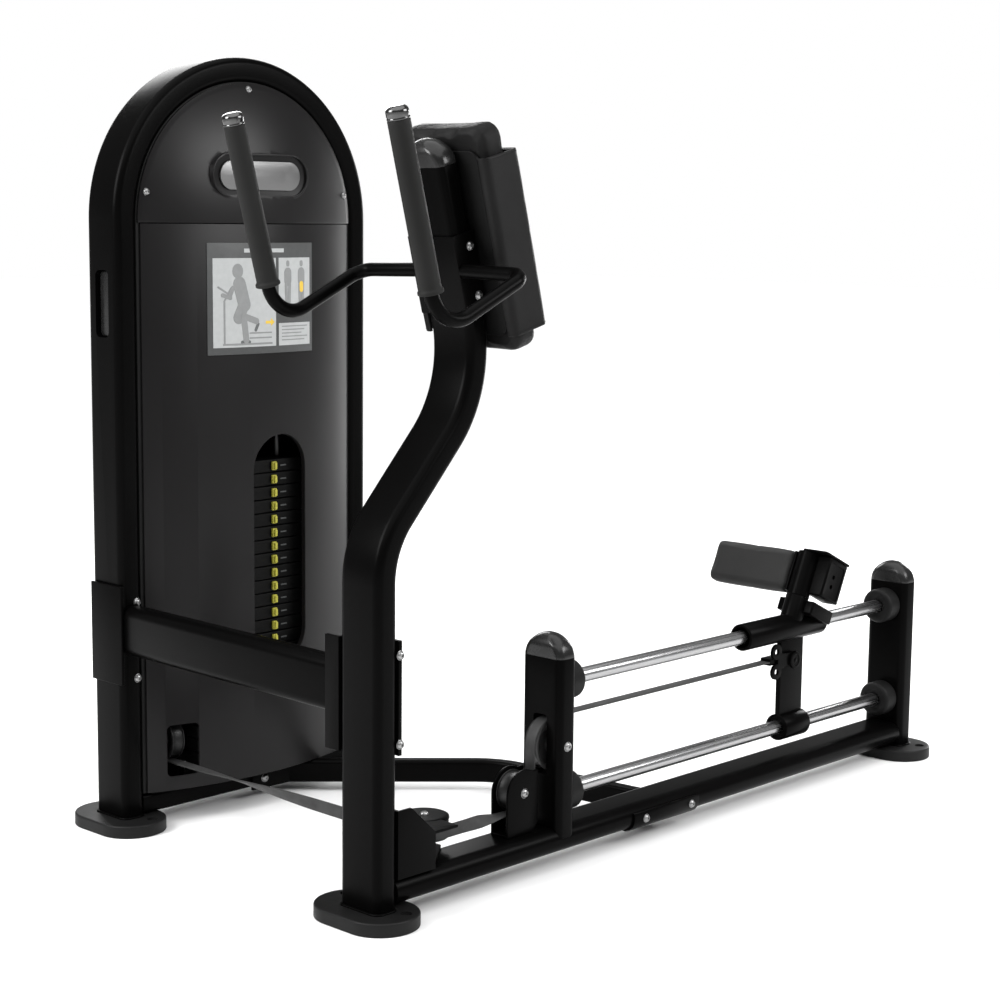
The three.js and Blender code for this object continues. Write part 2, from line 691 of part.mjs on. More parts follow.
function headPlate() {
  const xs = [TOWER_X - STACK_HALF, TOWER_X + STACK_HALF];
  const ys = [STACK_Y - STACK_DEEP / 2, STACK_Y + STACK_DEEP / 2];
  const plate = box(xs, ys, [HEAD_Z, HEAD_Z + HEAD_THICK]);
  const holes = [-GUIDE_X, GUIDE_X].map((x) => {
    const centre = { x: TOWER_X + x, y: STACK_Y };
    return rod('z', GUIDE_R + 1.2, HEAD_Z - 5, HEAD_Z + HEAD_THICK + 5, centre, 10);
  });
  const stem = rod('z', GUIDE_R, HEAD_Z - 560, HEAD_Z + 2, { x: TOWER_X, y: STACK_Y }, 10);
  const inside = PULLEY_WIDE / 2 + 2;
  const cheeks = [-1, 1].map((side) => {
    const ends = [STACK_Y + side * inside, STACK_Y + side * (inside + 6)].sort((a, b) => a - b);
    return box([TOWER_X - 22, TOWER_X + 22], ends, [HEAD_Z + HEAD_THICK - 2, HEAD_PULLEY_Z + 20]);
  });
  const centre = { x: TOWER_X, z: HEAD_PULLEY_Z };
  const axle = rod('y', AXLE_R, STACK_Y - inside - 3, STACK_Y + inside + 3, centre, 12);
  return piece('head_plate', join(cut(plate, ...holes), stem, ...cheeks, axle), DARK_STEEL);
}

// ---------------------------------------------------------------- pulleys and belt

function pulley(name, axis, radius, centre) {
  const half = PULLEY_WIDE / 2;
  const rim = half - 2.5;
  const profile = [
    [PULLEY_BORE, -half],
    [radius + 3, -half],
    [radius + 3, -rim],
    [radius - BELT_CLEAR, -rim],
    [radius - BELT_CLEAR, rim],
    [radius + 3, rim],
    [radius + 3, half],
    [PULLEY_BORE, half],
    [PULLEY_BORE, -half],
  ];
  return piece(name, turned(axis, profile, centre, 20), PULLEY_PLASTIC);
}

const BELT_HALF = BELT_THICK / 2;
const LOWER_PULLEY_Z = BELT_Z + LOWER_PULLEY.r + BELT_HALF;
const POST_PULLEY_X = BELT_X + POST_PULLEY.r + BELT_HALF;
const POST_PULLEY_Y = POST_PULLEY.r + BELT_HALF;
const TOWER_PULLEY_Z = BELT_Z + TOWER_PULLEY.r + BELT_HALF;

function pulleys() {
  const { x, z, r } = UPPER_PULLEY;
  const lower = { x: LOWER_PULLEY.x, y: 0, z: LOWER_PULLEY_Z };
  const postAt = { x: POST_PULLEY_X, y: POST_PULLEY_Y, z: BELT_Z };
  const towerAt = { x: BELT_X, y: TOWER_PULLEY.y, z: TOWER_PULLEY_Z };
  const topAt = { x: TOP_PULLEY_X, y: STACK_Y, z: TOP_PULLEY.z };
  const headAt = { x: TOWER_X, y: STACK_Y, z: HEAD_PULLEY_Z };
  return [
    pulley('upper_pulley', 'y', r, { x, y: 0, z }),
    pulley('lower_pulley', 'y', LOWER_PULLEY.r, lower),
    pulley('post_pulley', 'z', POST_PULLEY.r, postAt),
    pulley('tower_pulley', 'x', TOWER_PULLEY.r, towerAt),
    pulley('top_pulley', 'y', TOP_PULLEY.r, topAt),
    pulley('head_pulley', 'y', HEAD_PULLEY.r, headAt),
  ];
}

function lowerPulleyHousing() {
  const inside = PULLEY_WIDE / 2 + 1.5;
  const left = LOWER_PULLEY.x - 46;
  const right = FRONT_X - TUBE_DEEP / 2 - GAP - 26;
  const low = BEAM_Z + BEAM_DEEP / 2 + GAP;
  const cheekShape = new THREE.Shape();
  cheekShape.moveTo(left, low);
  cheekShape.lineTo(right - 14, low);
  cheekShape.lineTo(right, low + 18);
  cheekShape.lineTo(right, LOWER_PULLEY_Z + 40);
  cheekShape.absarc(LOWER_PULLEY.x, LOWER_PULLEY_Z, 46, Math.PI / 3, Math.PI, false);
  const cheeks = [
    bar('y', cheekShape, -inside - 5, -inside, {}, 5),
    bar('y', cheekShape, inside, inside + 5, {}, 5),
  ];
  const floor = box([left, right - 14], [-inside - 2, inside + 2], [low, low + 6]);
  const centre = { x: LOWER_PULLEY.x, y: 0, z: LOWER_PULLEY_Z };
  const axle = rod('y', AXLE_R, -inside - 4, inside + 4, centre, 12);
  const heads = [-1, 1].map((side) => boltHead('y', side, { ...centre, y: side * (inside + 5) }));
  return piece('lower_pulley_housing', join(cheeks[0], cheeks[1], floor, axle, ...heads), FRAME_PAINT);
}

function postPulleyGuard() {
  const low = BEAM_Z + BEAM_DEEP / 2 + GAP;
  const high = BELT_Z + PULLEY_WIDE / 2 + 5;
  const face = TUBE_DEEP / 2 + GAP;
  const web = box([face, face + 6], [-46, 24], [low, 205]);
  const foot = polygon([face, -46], [118, -46], [POST_PULLEY_X + 30, 30], [POST_PULLEY_X + 30, 70], [face, 70]);
  const floor = bar('z', foot, low, low + 6);
  const plate = polygon([face, low], [118, low], [118, high + 6], [58, 205], [face, 205]);
  const centre = { x: POST_PULLEY_X, y: POST_PULLEY_Y };
  const lid = rod('z', POST_PULLEY.r + 4, high, high + 6, centre, 24);
  const bridge = box([face + 2, POST_PULLEY_X], [-46, POST_PULLEY_Y], [high, high + 6]);
  const axle = rod('z', AXLE_R, low + 2, high + 2, centre, 12);
  const front = bar('y', plate, -50, -45);
  return piece('post_pulley_guard', join(web, floor, front, lid, bridge, axle), FRAME_PAINT);
}

function towerPulleyBracket() {
  const inside = PULLEY_WIDE / 2 + 2;
  const low = RAIL_TOP - 1;
  const ys = [TOWER_PULLEY.y - 18, TOWER_PULLEY.y + 18];
  const floor = box([BELT_X - inside - 5, BELT_X + inside + 5], ys, [low, low + 6]);
  const cheeks = [-1, 1].map((side) => {
    const ends = [BELT_X + side * inside, BELT_X + side * (inside + 5)].sort((a, b) => a - b);
    return box(ends, ys, [low, TOWER_PULLEY_Z + 18]);
  });
  const centre = { y: TOWER_PULLEY.y, z: TOWER_PULLEY_Z };
  const axle = rod('x', AXLE_R, BELT_X - inside - 3, BELT_X + inside + 3, centre, 12);
  return [floor, ...cheeks, axle];
}

// The belt's route from the front upright to the top of the tower: points, and at each the
// direction of its width.
function beltRoute() {
  const points = [];
  const sides = [];
  const add = (x, y, z, side) => {
    points.push(new THREE.Vector3(x, y, z));
    sides.push(side.clone());
  };
  const arc = (from, to, steps, place, side) => {
    for (let step = 0; step <= steps; step += 1) {
      const angle = (from + ((to - from) * step) / steps) * DEG;
      add(...place(Math.cos(angle), Math.sin(angle)), side);
    }
  };
  const twist = (start, end, fromSide, toSide, steps) => {
    for (let step = 1; step < steps; step += 1) {
      const share = step / steps;
      const side = fromSide.clone().multiplyScalar(Math.cos((share * Math.PI) / 2));
      side.addScaledVector(toSide, Math.sin((share * Math.PI) / 2));
      const at = new THREE.Vector3(...start).lerp(new THREE.Vector3(...end), share);
      add(at.x, at.y, at.z, side);
    }
  };
  const upperR = UPPER_PULLEY.r + BELT_HALF;
  const lowerR = LOWER_PULLEY.r + BELT_HALF;
  const postR = POST_PULLEY.r + BELT_HALF;
  const towerR = TOWER_PULLEY.r + BELT_HALF;
  const topR = TOP_PULLEY.r + BELT_HALF;
  add(FRONT_X + 29, 0, TRAVEL_BELT_Z, Y);
  arc(90, 180, 8, (c, s) => [UPPER_PULLEY.x + upperR * c, 0, UPPER_PULLEY.z + upperR * s], Y);
  arc(0, -90, 8, (c, s) => [LOWER_PULLEY.x + lowerR * c, 0, LOWER_PULLEY_Z + lowerR * s], Y);
  twist([345, 0, BELT_Z], [235, 0, BELT_Z], Y, Z, 8);
  arc(-90, -180, 8, (c, s) => [POST_PULLEY_X + postR * c, POST_PULLEY_Y + postR * s, BELT_Z], Z);
  twist([BELT_X, 230, BELT_Z], [BELT_X, 690, BELT_Z], Z, X.clone().negate(), 10);
  const minusX = X.clone().negate();
  const rise = TOWER_PULLEY.y + towerR;
  arc(-90, 0, 6, (c, s) => [BELT_X, TOWER_PULLEY.y + towerR * c, TOWER_PULLEY_Z + towerR * s], minusX);
  twist([BELT_X, rise, 260], [BELT_X, STACK_Y, 1220], minusX, Y, 8);
  arc(180, 0, 14, (c, s) => [TOP_PULLEY_X + topR * c, STACK_Y, TOP_PULLEY.z + topR * s], Y);
  add(HEAD_BELT_X, STACK_Y, GUIDE_TOP - 2, Y);
  return { points, sides };
}

function belts() {
  const { points, sides } = beltRoute();
  const flat = polygon(
    [BELT_WIDE / 2, -BELT_HALF],
    [BELT_WIDE / 2, BELT_HALF],
    [-BELT_WIDE / 2, BELT_HALF],
    [-BELT_WIDE / 2, -BELT_HALF],
  );
  const travel = box(
    [FRONT_X + 29 + GAP, CLAMP_FROM - GAP],
    [-BELT_WIDE / 2, BELT_WIDE / 2],
    [TRAVEL_BELT_Z - BELT_HALF, TRAVEL_BELT_Z + BELT_HALF],
  );
  const loop = [new THREE.Vector3(HEAD_BELT_X, STACK_Y, GUIDE_TOP - 2 - GAP)];
  for (let step = 0; step <= 12; step += 1) {
    const angle = Math.PI + (Math.PI * step) / 12;
    const x = TOWER_X + HEAD_BELT_HALF * Math.cos(angle);
    loop.push(new THREE.Vector3(x, STACK_Y, HEAD_PULLEY_Z + HEAD_BELT_HALF * Math.sin(angle)));
  }
  loop.push(new THREE.Vector3(TOWER_X + HEAD_BELT_HALF, STACK_Y, GUIDE_TOP - GAP));
  return [
    piece('drive_belt', sweep(flat, points, sides), BELT_RUBBER),
    piece('travel_belt', travel, BELT_RUBBER),
    piece('head_belt', sweep(flat, loop, loop.map(() => Y.clone())), BELT_RUBBER),
  ];
}

// ---------------------------------------------------------------- chest pad and handles

// Everything bolted to the leaning top of the post, drawn upright: x points out of the pad.
function chestGroup() {
  const group = new THREE.Group();
  group.position.set(PAD_AT.x, 0, PAD_AT.z);
  group.rotation.y = -LEAN;
  const postFace = 6.8;
  const postBack = postFace - TUBE_DEEP;
  const boardBack = postFace + GAP;
  const boardFront = boardBack + 7;
  const board = bar('x', roundedRect(180, 330, 20), boardBack, boardFront, { z: -12 });
  const bevel = { bevelThickness: 20, bevelSize: 22, bevelSegments: 3 };
  const depth = 73 - boardFront - GAP - 2 * bevel.bevelThickness;
  const outline = roundedRect(220 - 2 * bevel.bevelSize, 420 - 2 * bevel.bevelSize, 18);
  const cushion = new THREE.ExtrudeGeometry(outline, { depth, curveSegments: 2, ...bevel });
  cushion.applyMatrix4(new THREE.Matrix4().makeBasis(Y, Z, X));
  cushion.translate(boardFront + GAP + bevel.bevelThickness, 0, -9);
  const wrap = bar('z', roundedRect(89, 234, 12), -177, 141, { x: 44.5 });
  const hollow = box([boardBack - 0.5, 73.6], [-110.6, 110.6], [-200, 200]);
  const mouth = box([-5, boardBack + 1], [-95, 95], [-200, 200]);
  group.add(
    piece('pad_back_board', board, DARK_STEEL),
    piece('chest_cushion', cushion, VINYL),
    piece('pad_sleeve', cut(wrap, hollow, mouth), VINYL),
    handleBracket(postBack),
  );
  return group;
}

function handleBracket(postBack) {
  const inner = TUBE_WIDE / 2 + GAP;
  const zs = [-124, 16];
  const back = box([postBack - GAP - 6, postBack - GAP], [-inner - 6, inner + 6], zs);
  const cheeks = [-1, 1].map((side) => {
    const ends = [side * inner, side * (inner + 6)].sort((a, b) => a - b);
    return box([postBack - GAP - 6, 2], ends, zs);
  });
  const heads = [-98, -9].flatMap((z) =>
    [-1, 1].map((side) => boltHead('y', side, { x: -12, y: side * (inner + 6), z }, 8)),
  );
  return piece('handle_bracket', join(back, ...cheeks, ...heads), FRAME_PAINT);
}

function handle(name, side) {
  const lean = new THREE.Vector3(-Math.sin(LEAN), 0, Math.cos(LEAN));
  const grip = new THREE.Vector3(GRIP_FOOT.x, side * GRIP_FOOT.y, GRIP_FOOT.z);
  const start = new THREE.Vector3(172, side * (TUBE_WIDE / 2 + GAP + 6 + GAP), 1145);
  const corners = [
    { at: new THREE.Vector3(170, side * 206, 1142), radius: 32 },
    { at: grip.clone().addScaledVector(lean, -72), radius: 60 },
  ];
  const end = grip.clone().addScaledVector(lean, GRIP_LONG + 5);
  const circle = new THREE.Shape().absarc(0, 0, BAR_R, 0, Math.PI * 2);
  const tube = sweep(circle, filleted(start, corners, end, 18 * DEG), null, 5);
  const sleeve = [
    [BAR_R + 1, 0],
    [GRIP_R + 3, 0],
    [GRIP_R + 3, 6],
    [GRIP_R, 9],
    [GRIP_R, GRIP_LONG],
    [BAR_R + 1, GRIP_LONG],
    [BAR_R + 1, 0],
  ];
  const capFoot = GRIP_LONG + GAP;
  const cap = [[0, capFoot], [GRIP_R, capFoot], [GRIP_R, capFoot + 13], [GRIP_R - 5, capFoot + 20]];
  cap.push([0, capFoot + 22]);
  const origin = { x: 0, y: 0, z: 0 };
  const atGrip = (geometry) => geometry.rotateY(-LEAN).translate(grip.x, grip.y, grip.z);
  const gripSleeve = atGrip(turned('z', sleeve, origin, 20));
  const capped = join(tube, atGrip(turned('z', cap, origin, 20)));
  return [piece(`${name}_handlebar`, capped, FRAME_PAINT), piece(`${name}_grip`, gripSleeve, RUBBER)];
}

// ---------------------------------------------------------------- carriage and foot pad

const CLAMP_FROM = 1168;

function tiltAtPivot(geometry) {
  return geometry.rotateY(PIVOT.tilt).translate(PIVOT.x, 0, PIVOT.z);
}

const PIN_R = 10;
const PIN_LONG = 60;

function carriage() {
  const origin = { x: 0, y: 0, z: 0 };
  const upper = rod('x', SLEEVE_R, SLEEVE_FROM, SLEEVE_TO, { y: 0, z: UPPER_ROD_Z }, 20);
  const lower = rod('x', SLEEVE_R, LOW_SLEEVE_FROM, LOW_SLEEVE_TO, { y: 0, z: LOWER_ROD_Z }, 20);
  const web = box([WEB_FROM, WEB_TO], [-6, 6], [LOWER_ROD_Z, UPPER_ROD_Z]);
  const stub = tiltAtPivot(rod('z', PIVOT.r, -58, 0, origin, 20));
  const pin = tiltAtPivot(rod('z', PIN_R, -5, PIN_LONG, origin, 12));
  const stop = tiltAtPivot(box([0, 84], [-46, 46], [-34, -5]));
  const bores = [
    rod('x', ROD_BORE, SLEEVE_FROM - 5, SLEEVE_TO + 5, { y: 0, z: UPPER_ROD_Z }, 20),
    rod('x', ROD_BORE, LOW_SLEEVE_FROM - 5, LOW_SLEEVE_TO + 5, { y: 0, z: LOWER_ROD_Z }, 20),
  ];
  const body = cut(join(upper, lower, web, stub, stop), ...bores);
  return piece('carriage', join(body, pin), FRAME_PAINT);
}

// Clamp that holds the end of the belt on the web: a block with a lobed plate on either side.
function beltClamp() {
  const block = box([CLAMP_FROM, WEB_FROM - GAP], [-14, 14], [283, 298]);
  const lobes = [
    [1186, 312],
    [1186, 268],
    [1206, 290],
  ];
  const plateYs = [-18, -12];
  const discs = lobes.map(([x, z]) => rod('y', 17, ...plateYs, { x, z }, 12));
  const holes = lobes.slice(0, 2).map(([x, z]) => rod('y', 7, -20, -10, { x, z }, 8));
  const tongue = box([1200, WEB_FROM + 44], plateYs, [274, 300]);
  const spacer = box([WEB_FROM + 8, WEB_FROM + 44], [-13, -6 - GAP], [274, 300]);
  const knob = rod('y', 19, -24, -17, { x: 1248, z: 286 }, 12);
  const plate = cut(join(discs[0], discs[1], discs[2], tongue), ...holes);
  return piece('belt_clamp', join(block, plate, spacer, knob), FRAME_PAINT);
}

// The foot pad and its arm, drawn upright on the pivot: x points the way the foot pushes.
function footGroup() {
  const group = new THREE.Group();
  group.position.set(PIVOT.x, 0, PIVOT.z);
  group.rotation.y = PIVOT.tilt;
  const origin = { x: 0, y: 0, z: 0 };
  const hub = rod('z', PIVOT.r, 0.5, 102, origin, 20);
  const bore = rod('z', PIN_R + 0.8, -1, PIN_LONG + 1, origin, 12);
  const flange = box([-19, 19], [20, 28], [8, 98]);
  const lid = box([-24, 78], [-60, 6], [100, 105]);
  const block = box([0, 72], [-58, -18], [10, 101]);
  const holes = [40, 62].map((z) => rod('y', 5, -60, -48, { x: 31, z }, 10));
  const bevel = { bevelThickness: 8, bevelSize: 8, bevelSegments: 2 };
  const slab = new THREE.ExtrudeGeometry(roundedRect(28, 80, 8), { depth: 196, curveSegments: 2, ...bevel });
  slab.applyMatrix4(new THREE.Matrix4().makeBasis(X, Z, Y.clone().negate()));
  slab.translate(0, 28 + GAP + 8 + 196, 53);
  group.add(
    piece('foot_pad_arm', cut(join(hub, flange, lid, block), bore, ...holes), FRAME_PAINT),
    piece('foot_pad', slab, RUBBER),
  );
  return group;
}

// ---------------------------------------------------------------- assembly

const machine = new THREE.Group();
machine.add(
  ...post(),
  baseBeam(),
  beamSaddle(),
  diagonalBrace(),
  ...uprights(),
  ...rodsAndBumpers(),
  crossbar(),
  crossbarSaddle(),
  crossbarAnchor(),
  ...towerFrame(),
  towerBase(),
  ...guideRods(),
  towerTopFrame(),
  ...shrouds(),
  ...archPanels(),
  placard(),
  weightStack(),
  ...lockLevers(),
  headPlate(),
  ...pulleys(),
  lowerPulleyHousing(),
  postPulleyGuard(),
  ...belts(),
  chestGroup(),
  ...handle('left', 1),
  ...handle('right', -1),
  carriage(),
  beltClamp(),
  footGroup(),
);

machine.updateMatrixWorld(true);
const bounds = new THREE.Box3().setFromObject(machine, true);
const middle = bounds.getCenter(new THREE.Vector3());
machine.position.set(-middle.x, -middle.y, -bounds.min.z);

export default machine;
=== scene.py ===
import math

import bmesh
import bpy
from mathutils import Matrix, Vector


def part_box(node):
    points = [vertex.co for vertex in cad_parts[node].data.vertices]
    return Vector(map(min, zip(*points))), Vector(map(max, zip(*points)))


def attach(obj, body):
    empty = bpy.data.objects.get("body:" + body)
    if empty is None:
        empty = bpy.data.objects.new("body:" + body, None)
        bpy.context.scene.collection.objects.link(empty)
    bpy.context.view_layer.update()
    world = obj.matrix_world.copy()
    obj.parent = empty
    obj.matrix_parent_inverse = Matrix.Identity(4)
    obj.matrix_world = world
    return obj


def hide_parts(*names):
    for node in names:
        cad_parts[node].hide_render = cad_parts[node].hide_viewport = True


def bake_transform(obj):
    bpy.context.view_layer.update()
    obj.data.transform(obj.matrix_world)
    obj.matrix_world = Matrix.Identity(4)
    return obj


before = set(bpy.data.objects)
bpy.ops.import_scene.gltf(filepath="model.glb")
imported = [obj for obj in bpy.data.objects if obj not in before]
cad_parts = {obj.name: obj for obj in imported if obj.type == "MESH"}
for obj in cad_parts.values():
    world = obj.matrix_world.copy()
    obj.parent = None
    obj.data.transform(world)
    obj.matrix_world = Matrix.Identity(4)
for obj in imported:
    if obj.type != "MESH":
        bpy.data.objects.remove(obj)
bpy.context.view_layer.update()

# ---------------------------------------------------------------- the machine's own frame
# Pieces are drawn in millimetres with the origin on the floor under the chest post: x along the
# rods, away from the post, and y from the rods towards the tower. to_row carries them to the row
# frame. The far upright stands on the rods' line, so its box gives the shift.

FAR_X = 1660
low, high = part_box("far_upright")
SHIFT = Vector(((low.x + high.x) / 2 - FAR_X / 1000, (low.y + high.y) / 2, 0))
TO_ROW = Matrix.Translation(SHIFT) @ Matrix.Scale(0.001, 4)

ROOT = "machine_frame"
CARRIAGE = "carriage_body"
FOOT_PAD = "foot_pad_body"
HEAD = "head_body"

# Near and far are the -y and +y sides of a piece, left and right its -x and +x sides.
NEAR_FAR = (("near", -1), ("far", 1))
LEFT_RIGHT = (("left", -1), ("right", 1))

GAP = 0.3
TUBE_WIDE = 100
TUBE_DEEP = 50
TUBE_ROUND = 15
FOOT_THICK = 25
FRONT_X = 471
UPRIGHT_TOP = 410
ROD_R = 15
UPPER_ROD_Z = 357
LOWER_ROD_Z = 137
BEAM_Z = 55
BEAM_TOP = BEAM_Z + TUBE_DEEP / 2 + GAP
BRACE_Z = 44
LEAN = math.radians(15)
TOWER_X = 334
TOWER_Y = 777
TOWER_HALF = 329
ARCH_Z = 1226
ARCH_R = 304
SHROUD_HALF = 272
SHROUD_BULGE = 50
SHROUD_R = (SHROUD_HALF**2 + SHROUD_BULGE**2) / (2 * SHROUD_BULGE)
SHROUD_LOW = 70
PANEL_R = 277
BADGE_Z = 1317
PLACARD_Z = 1069.5
POCKET_Z = 1062
CROSSBAR_Z = 414
SLOT_X = 377.5
SLOT_Z = 544.5
SLOT_WIDE = 147
SLOT_TALL = 489
PLATES = 22
PLATE_PITCH = 28.4
PLATE_THICK = 26.4
STACK_LOW = 107
STACK_TOP = STACK_LOW + PLATES * PLATE_PITCH
STACK_Y = 772
STACK_HALF_X = 150
STACK_HALF_Y = 55
GUIDE_OFFSET = 110
HEAD_LOW = STACK_TOP + 258.5
LEVER_X = 388
UPPER_SLEEVE = (1078, 1357)
LOWER_SLEEVE = (1215, 1303)
PIVOT = (1280, 0, 420)
PIVOT_TILT = math.radians(25)
POST_TOP = (143.2, 0, 1327.3)
BELT_Z = 122
BELT_X = 136
BELT_HALF = 1.5
TRAVEL_Z = 290.5
JAW_X = (1168, 1215.7)

# Each pulley's belt radius and its centre.
UPPER_R, UPPER_AT = 49, (470, 0, 240)
LOWER_R, LOWER_AT = 37, (381, 0, 160.5)
POST_R, POST_AT = 43, (180.5, 44.5, BELT_Z)
TOWER_R, TOWER_AT = 43, (BELT_X, 764, 166.5)
TOP_R, TOP_AT = 75, (212.5, STACK_Y, 1368)
HEAD_R, HEAD_AT = 43.5, (TOWER_X, STACK_Y, 1082.3)

# ---------------------------------------------------------------- camera, floor and light


def add_camera():
    yaw, pitch, roll = math.radians(43.537), math.radians(7.9165), math.radians(0.6027)
    forward = Vector(
        (math.cos(yaw) * math.cos(pitch), math.sin(yaw) * math.cos(pitch), -math.sin(pitch))
    )
    right = Vector((math.sin(yaw), -math.cos(yaw), 0))
    up = right.cross(forward)
    turned_right = math.cos(roll) * right + math.sin(roll) * up
    turned_up = math.cos(roll) * up - math.sin(roll) * right
    camera = bpy.data.objects.new("camera", bpy.data.cameras.new("camera"))
    camera.data.sensor_width = 36
    camera.data.lens = 73.375
    matrix = Matrix((turned_right, turned_up, -forward)).transposed().to_4x4()
    matrix.translation = TO_ROW @ Vector((-2366, -2560, 1240))
    camera.matrix_world = matrix
    bpy.context.scene.collection.objects.link(camera)
    bpy.context.scene.camera = camera


def add_light(name, place, target, size, power):
    data = bpy.data.lights.new(name, "AREA")
    data.shape = "RECTANGLE"
    data.size, data.size_y = size
    data.energy = power
    light = bpy.data.objects.new(name, data)
    light.location = place
    light.rotation_euler = (Vector(target) - Vector(place)).to_track_quat("-Z", "Y").to_euler()
    light.visible_camera = False
    bpy.context.scene.collection.objects.link(light)


def add_overhead():
    """A wide even light from above, so that the floor stays pale to the horizon."""
    data = bpy.data.lights.new("overhead", "SUN")
    data.energy = 3.2
    data.angle = math.radians(90)
    light = bpy.data.objects.new("overhead", data)
    light.rotation_euler = (math.radians(8), math.radians(-12), 0)
    bpy.context.scene.collection.objects.link(light)


def add_world():
    world = bpy.data.worlds.new("studio")
    world.use_nodes = True
    nodes, links = world.node_tree.nodes, world.node_tree.links
    studio = nodes["Background"]
    studio.inputs["Color"].default_value = (1, 1, 1, 1)
    studio.inputs["Strength"].default_value = 0.26
    backdrop = nodes.new("ShaderNodeBackground")
    backdrop.inputs["Strength"].default_value = 1.0
    backdrop.inputs["Color"].default_value = (1, 1, 1, 1)
    choose = nodes.new("ShaderNodeMixShader")
    links.new(nodes.new("ShaderNodeLightPath").outputs["Is Camera Ray"], choose.inputs[0])
    links.new(studio.outputs[0], choose.inputs[1])
    links.new(backdrop.outputs[0], choose.inputs[2])
    links.new(choose.outputs[0], nodes["World Output"].inputs["Surface"])
    bpy.context.scene.world = world
    scene = bpy.context.scene
    scene.view_settings.view_transform = "Standard"
    scene.view_settings.look = "None"


# ---------------------------------------------------------------- materials


class Graph:
    """Short hand for building a node material."""

    def __init__(self, name):
        self.material = bpy.data.materials.new(name)
        self.material.use_nodes = True
        self.nodes = self.material.node_tree.nodes
        self.links = self.material.node_tree.links
        self.shader = self.nodes["Principled BSDF"]

    def node(self, kind, settings=None, **inputs):
        made = self.nodes.new(kind)
        for key, value in (settings or {}).items():
            setattr(made, key, value)
        for key, value in inputs.items():
            self.feed(made, key.replace("_", " "), value)
        return made

    def feed(self, node, key, value):
        socket = node.inputs[int(key)] if key.isdigit() else node.inputs[key]
        if isinstance(value, bpy.types.NodeSocket):
            self.links.new(value, socket)
        else:
            socket.default_value = value

    def place(self):
        return self.node("ShaderNodeTexCoord").outputs["Object"]

    def noise(self, scale, detail=3.0, rough=0.5, vector=None):
        made = self.node("ShaderNodeTexNoise", Scale=scale, Detail=detail, Roughness=rough)
        self.links.new(vector or self.place(), made.inputs["Vector"])
        return made.outputs["Fac"]

    def stretched(self, scale):
        made = self.node("ShaderNodeMapping", Vector=self.place(), Scale=scale)
        return made.outputs["Vector"]

    def spread(self, value, low, high):
        made = self.node("ShaderNodeMapRange", Value=value)
        made.inputs["From Min"].default_value = 0.3
        made.inputs["From Max"].default_value = 0.7
        made.inputs["To Min"].default_value = low
        made.inputs["To Max"].default_value = high
        return made.outputs["Result"]

    def math(self, operation, a, b=0.0):
        made = self.node("ShaderNodeMath", {"operation": operation})
        self.feed(made, "0", a)
        self.feed(made, "1", b)
        return made.outputs["Value"]

    def mix(self, factor, a, b):
        made = self.node("ShaderNodeMix", {"data_type": "RGBA"})
        self.feed(made, "Factor", factor)
        self.feed(made, "6", (*a, 1) if isinstance(a, tuple) else a)
        self.feed(made, "7", (*b, 1) if isinstance(b, tuple) else b)
        return made.outputs[2]

    def bump(self, height, distance, strength=1.0, base=None):
        made = self.node("ShaderNodeBump", Height=height, Distance=distance, Strength=strength)
        if base is not None:
            self.links.new(base, made.inputs["Normal"])
        return made.outputs["Normal"]

    def set(self, **inputs):
        for key, value in inputs.items():
            self.feed(self.shader, key.replace("_", " "), value)
        return self.material


def powder_coat(name, dark, light, rough=0.42, gloss=0.3, grain=0.00012):
    """Satin powder coat: fine orange peel, uneven sheen and a trace of dust."""
    g = Graph(name)
    color = g.mix(g.noise(2.5, 1), dark, light)
    peel = g.bump(g.noise(900, 2), grain, 0.35)
    wave = g.bump(g.noise(140, 2), grain, 0.2, peel)
    roughness = g.spread(g.noise(6, 1, 0.4), rough - 0.01, rough + 0.03)
    return g.set(Base_Color=color, Roughness=roughness, Normal=wave, Specular_IOR_Level=gloss)


def moulded(name, dark, light, rough, gloss=0.5, pebble=700.0, depth=0.00015):
    """Moulded rubber or plastic with a fine pebbled skin and handling marks."""
    g = Graph(name)
    color = g.mix(g.spread(g.noise(6, 5), 0, 1), dark, light)
    skin = g.bump(g.noise(pebble, 3), depth, 0.5)
    roughness = g.spread(g.noise(14, 6, 0.65), rough - 0.06, rough + 0.08)
    return g.set(Base_Color=color, Roughness=roughness, Normal=skin, Specular_IOR_Level=gloss)


def steel(name, color, rough, stretch, brushed=0.00006):
    """Satin chromed or machined steel with fine marks along one direction."""
    g = Graph(name)
    streak = g.noise(60, 4, 0.6, g.stretched(stretch))
    shade = g.mix(streak, tuple(c * 0.86 for c in color), color)
    roughness = g.spread(streak, rough - 0.04, rough + 0.08)
    return g.set(
        Base_Color=shade, Metallic=1.0, Roughness=roughness, Normal=g.bump(streak, brushed, 0.4)
    )


def vinyl(name, dark, light):
    """Upholstery vinyl: leather grain from cells, with soft wrinkles."""
    g = Graph(name)
    grain = g.node("ShaderNodeTexVoronoi", {"feature": "DISTANCE_TO_EDGE"}, Scale=620.0)
    g.links.new(g.place(), grain.inputs["Vector"])
    crease = g.node("ShaderNodeMapRange", Value=grain.outputs["Distance"])
    crease.inputs["From Max"].default_value = 0.12
    fine = g.bump(crease.outputs["Result"], 0.00018, 0.55)
    soft = g.bump(g.noise(24, 3), 0.0012, 0.35, fine)
    color = g.mix(g.spread(g.noise(8, 4), 0, 1), dark, light)
    roughness = g.spread(g.noise(30, 4), 0.42, 0.55)
    return g.set(Base_Color=color, Roughness=roughness, Normal=soft, Specular_IOR_Level=0.14)


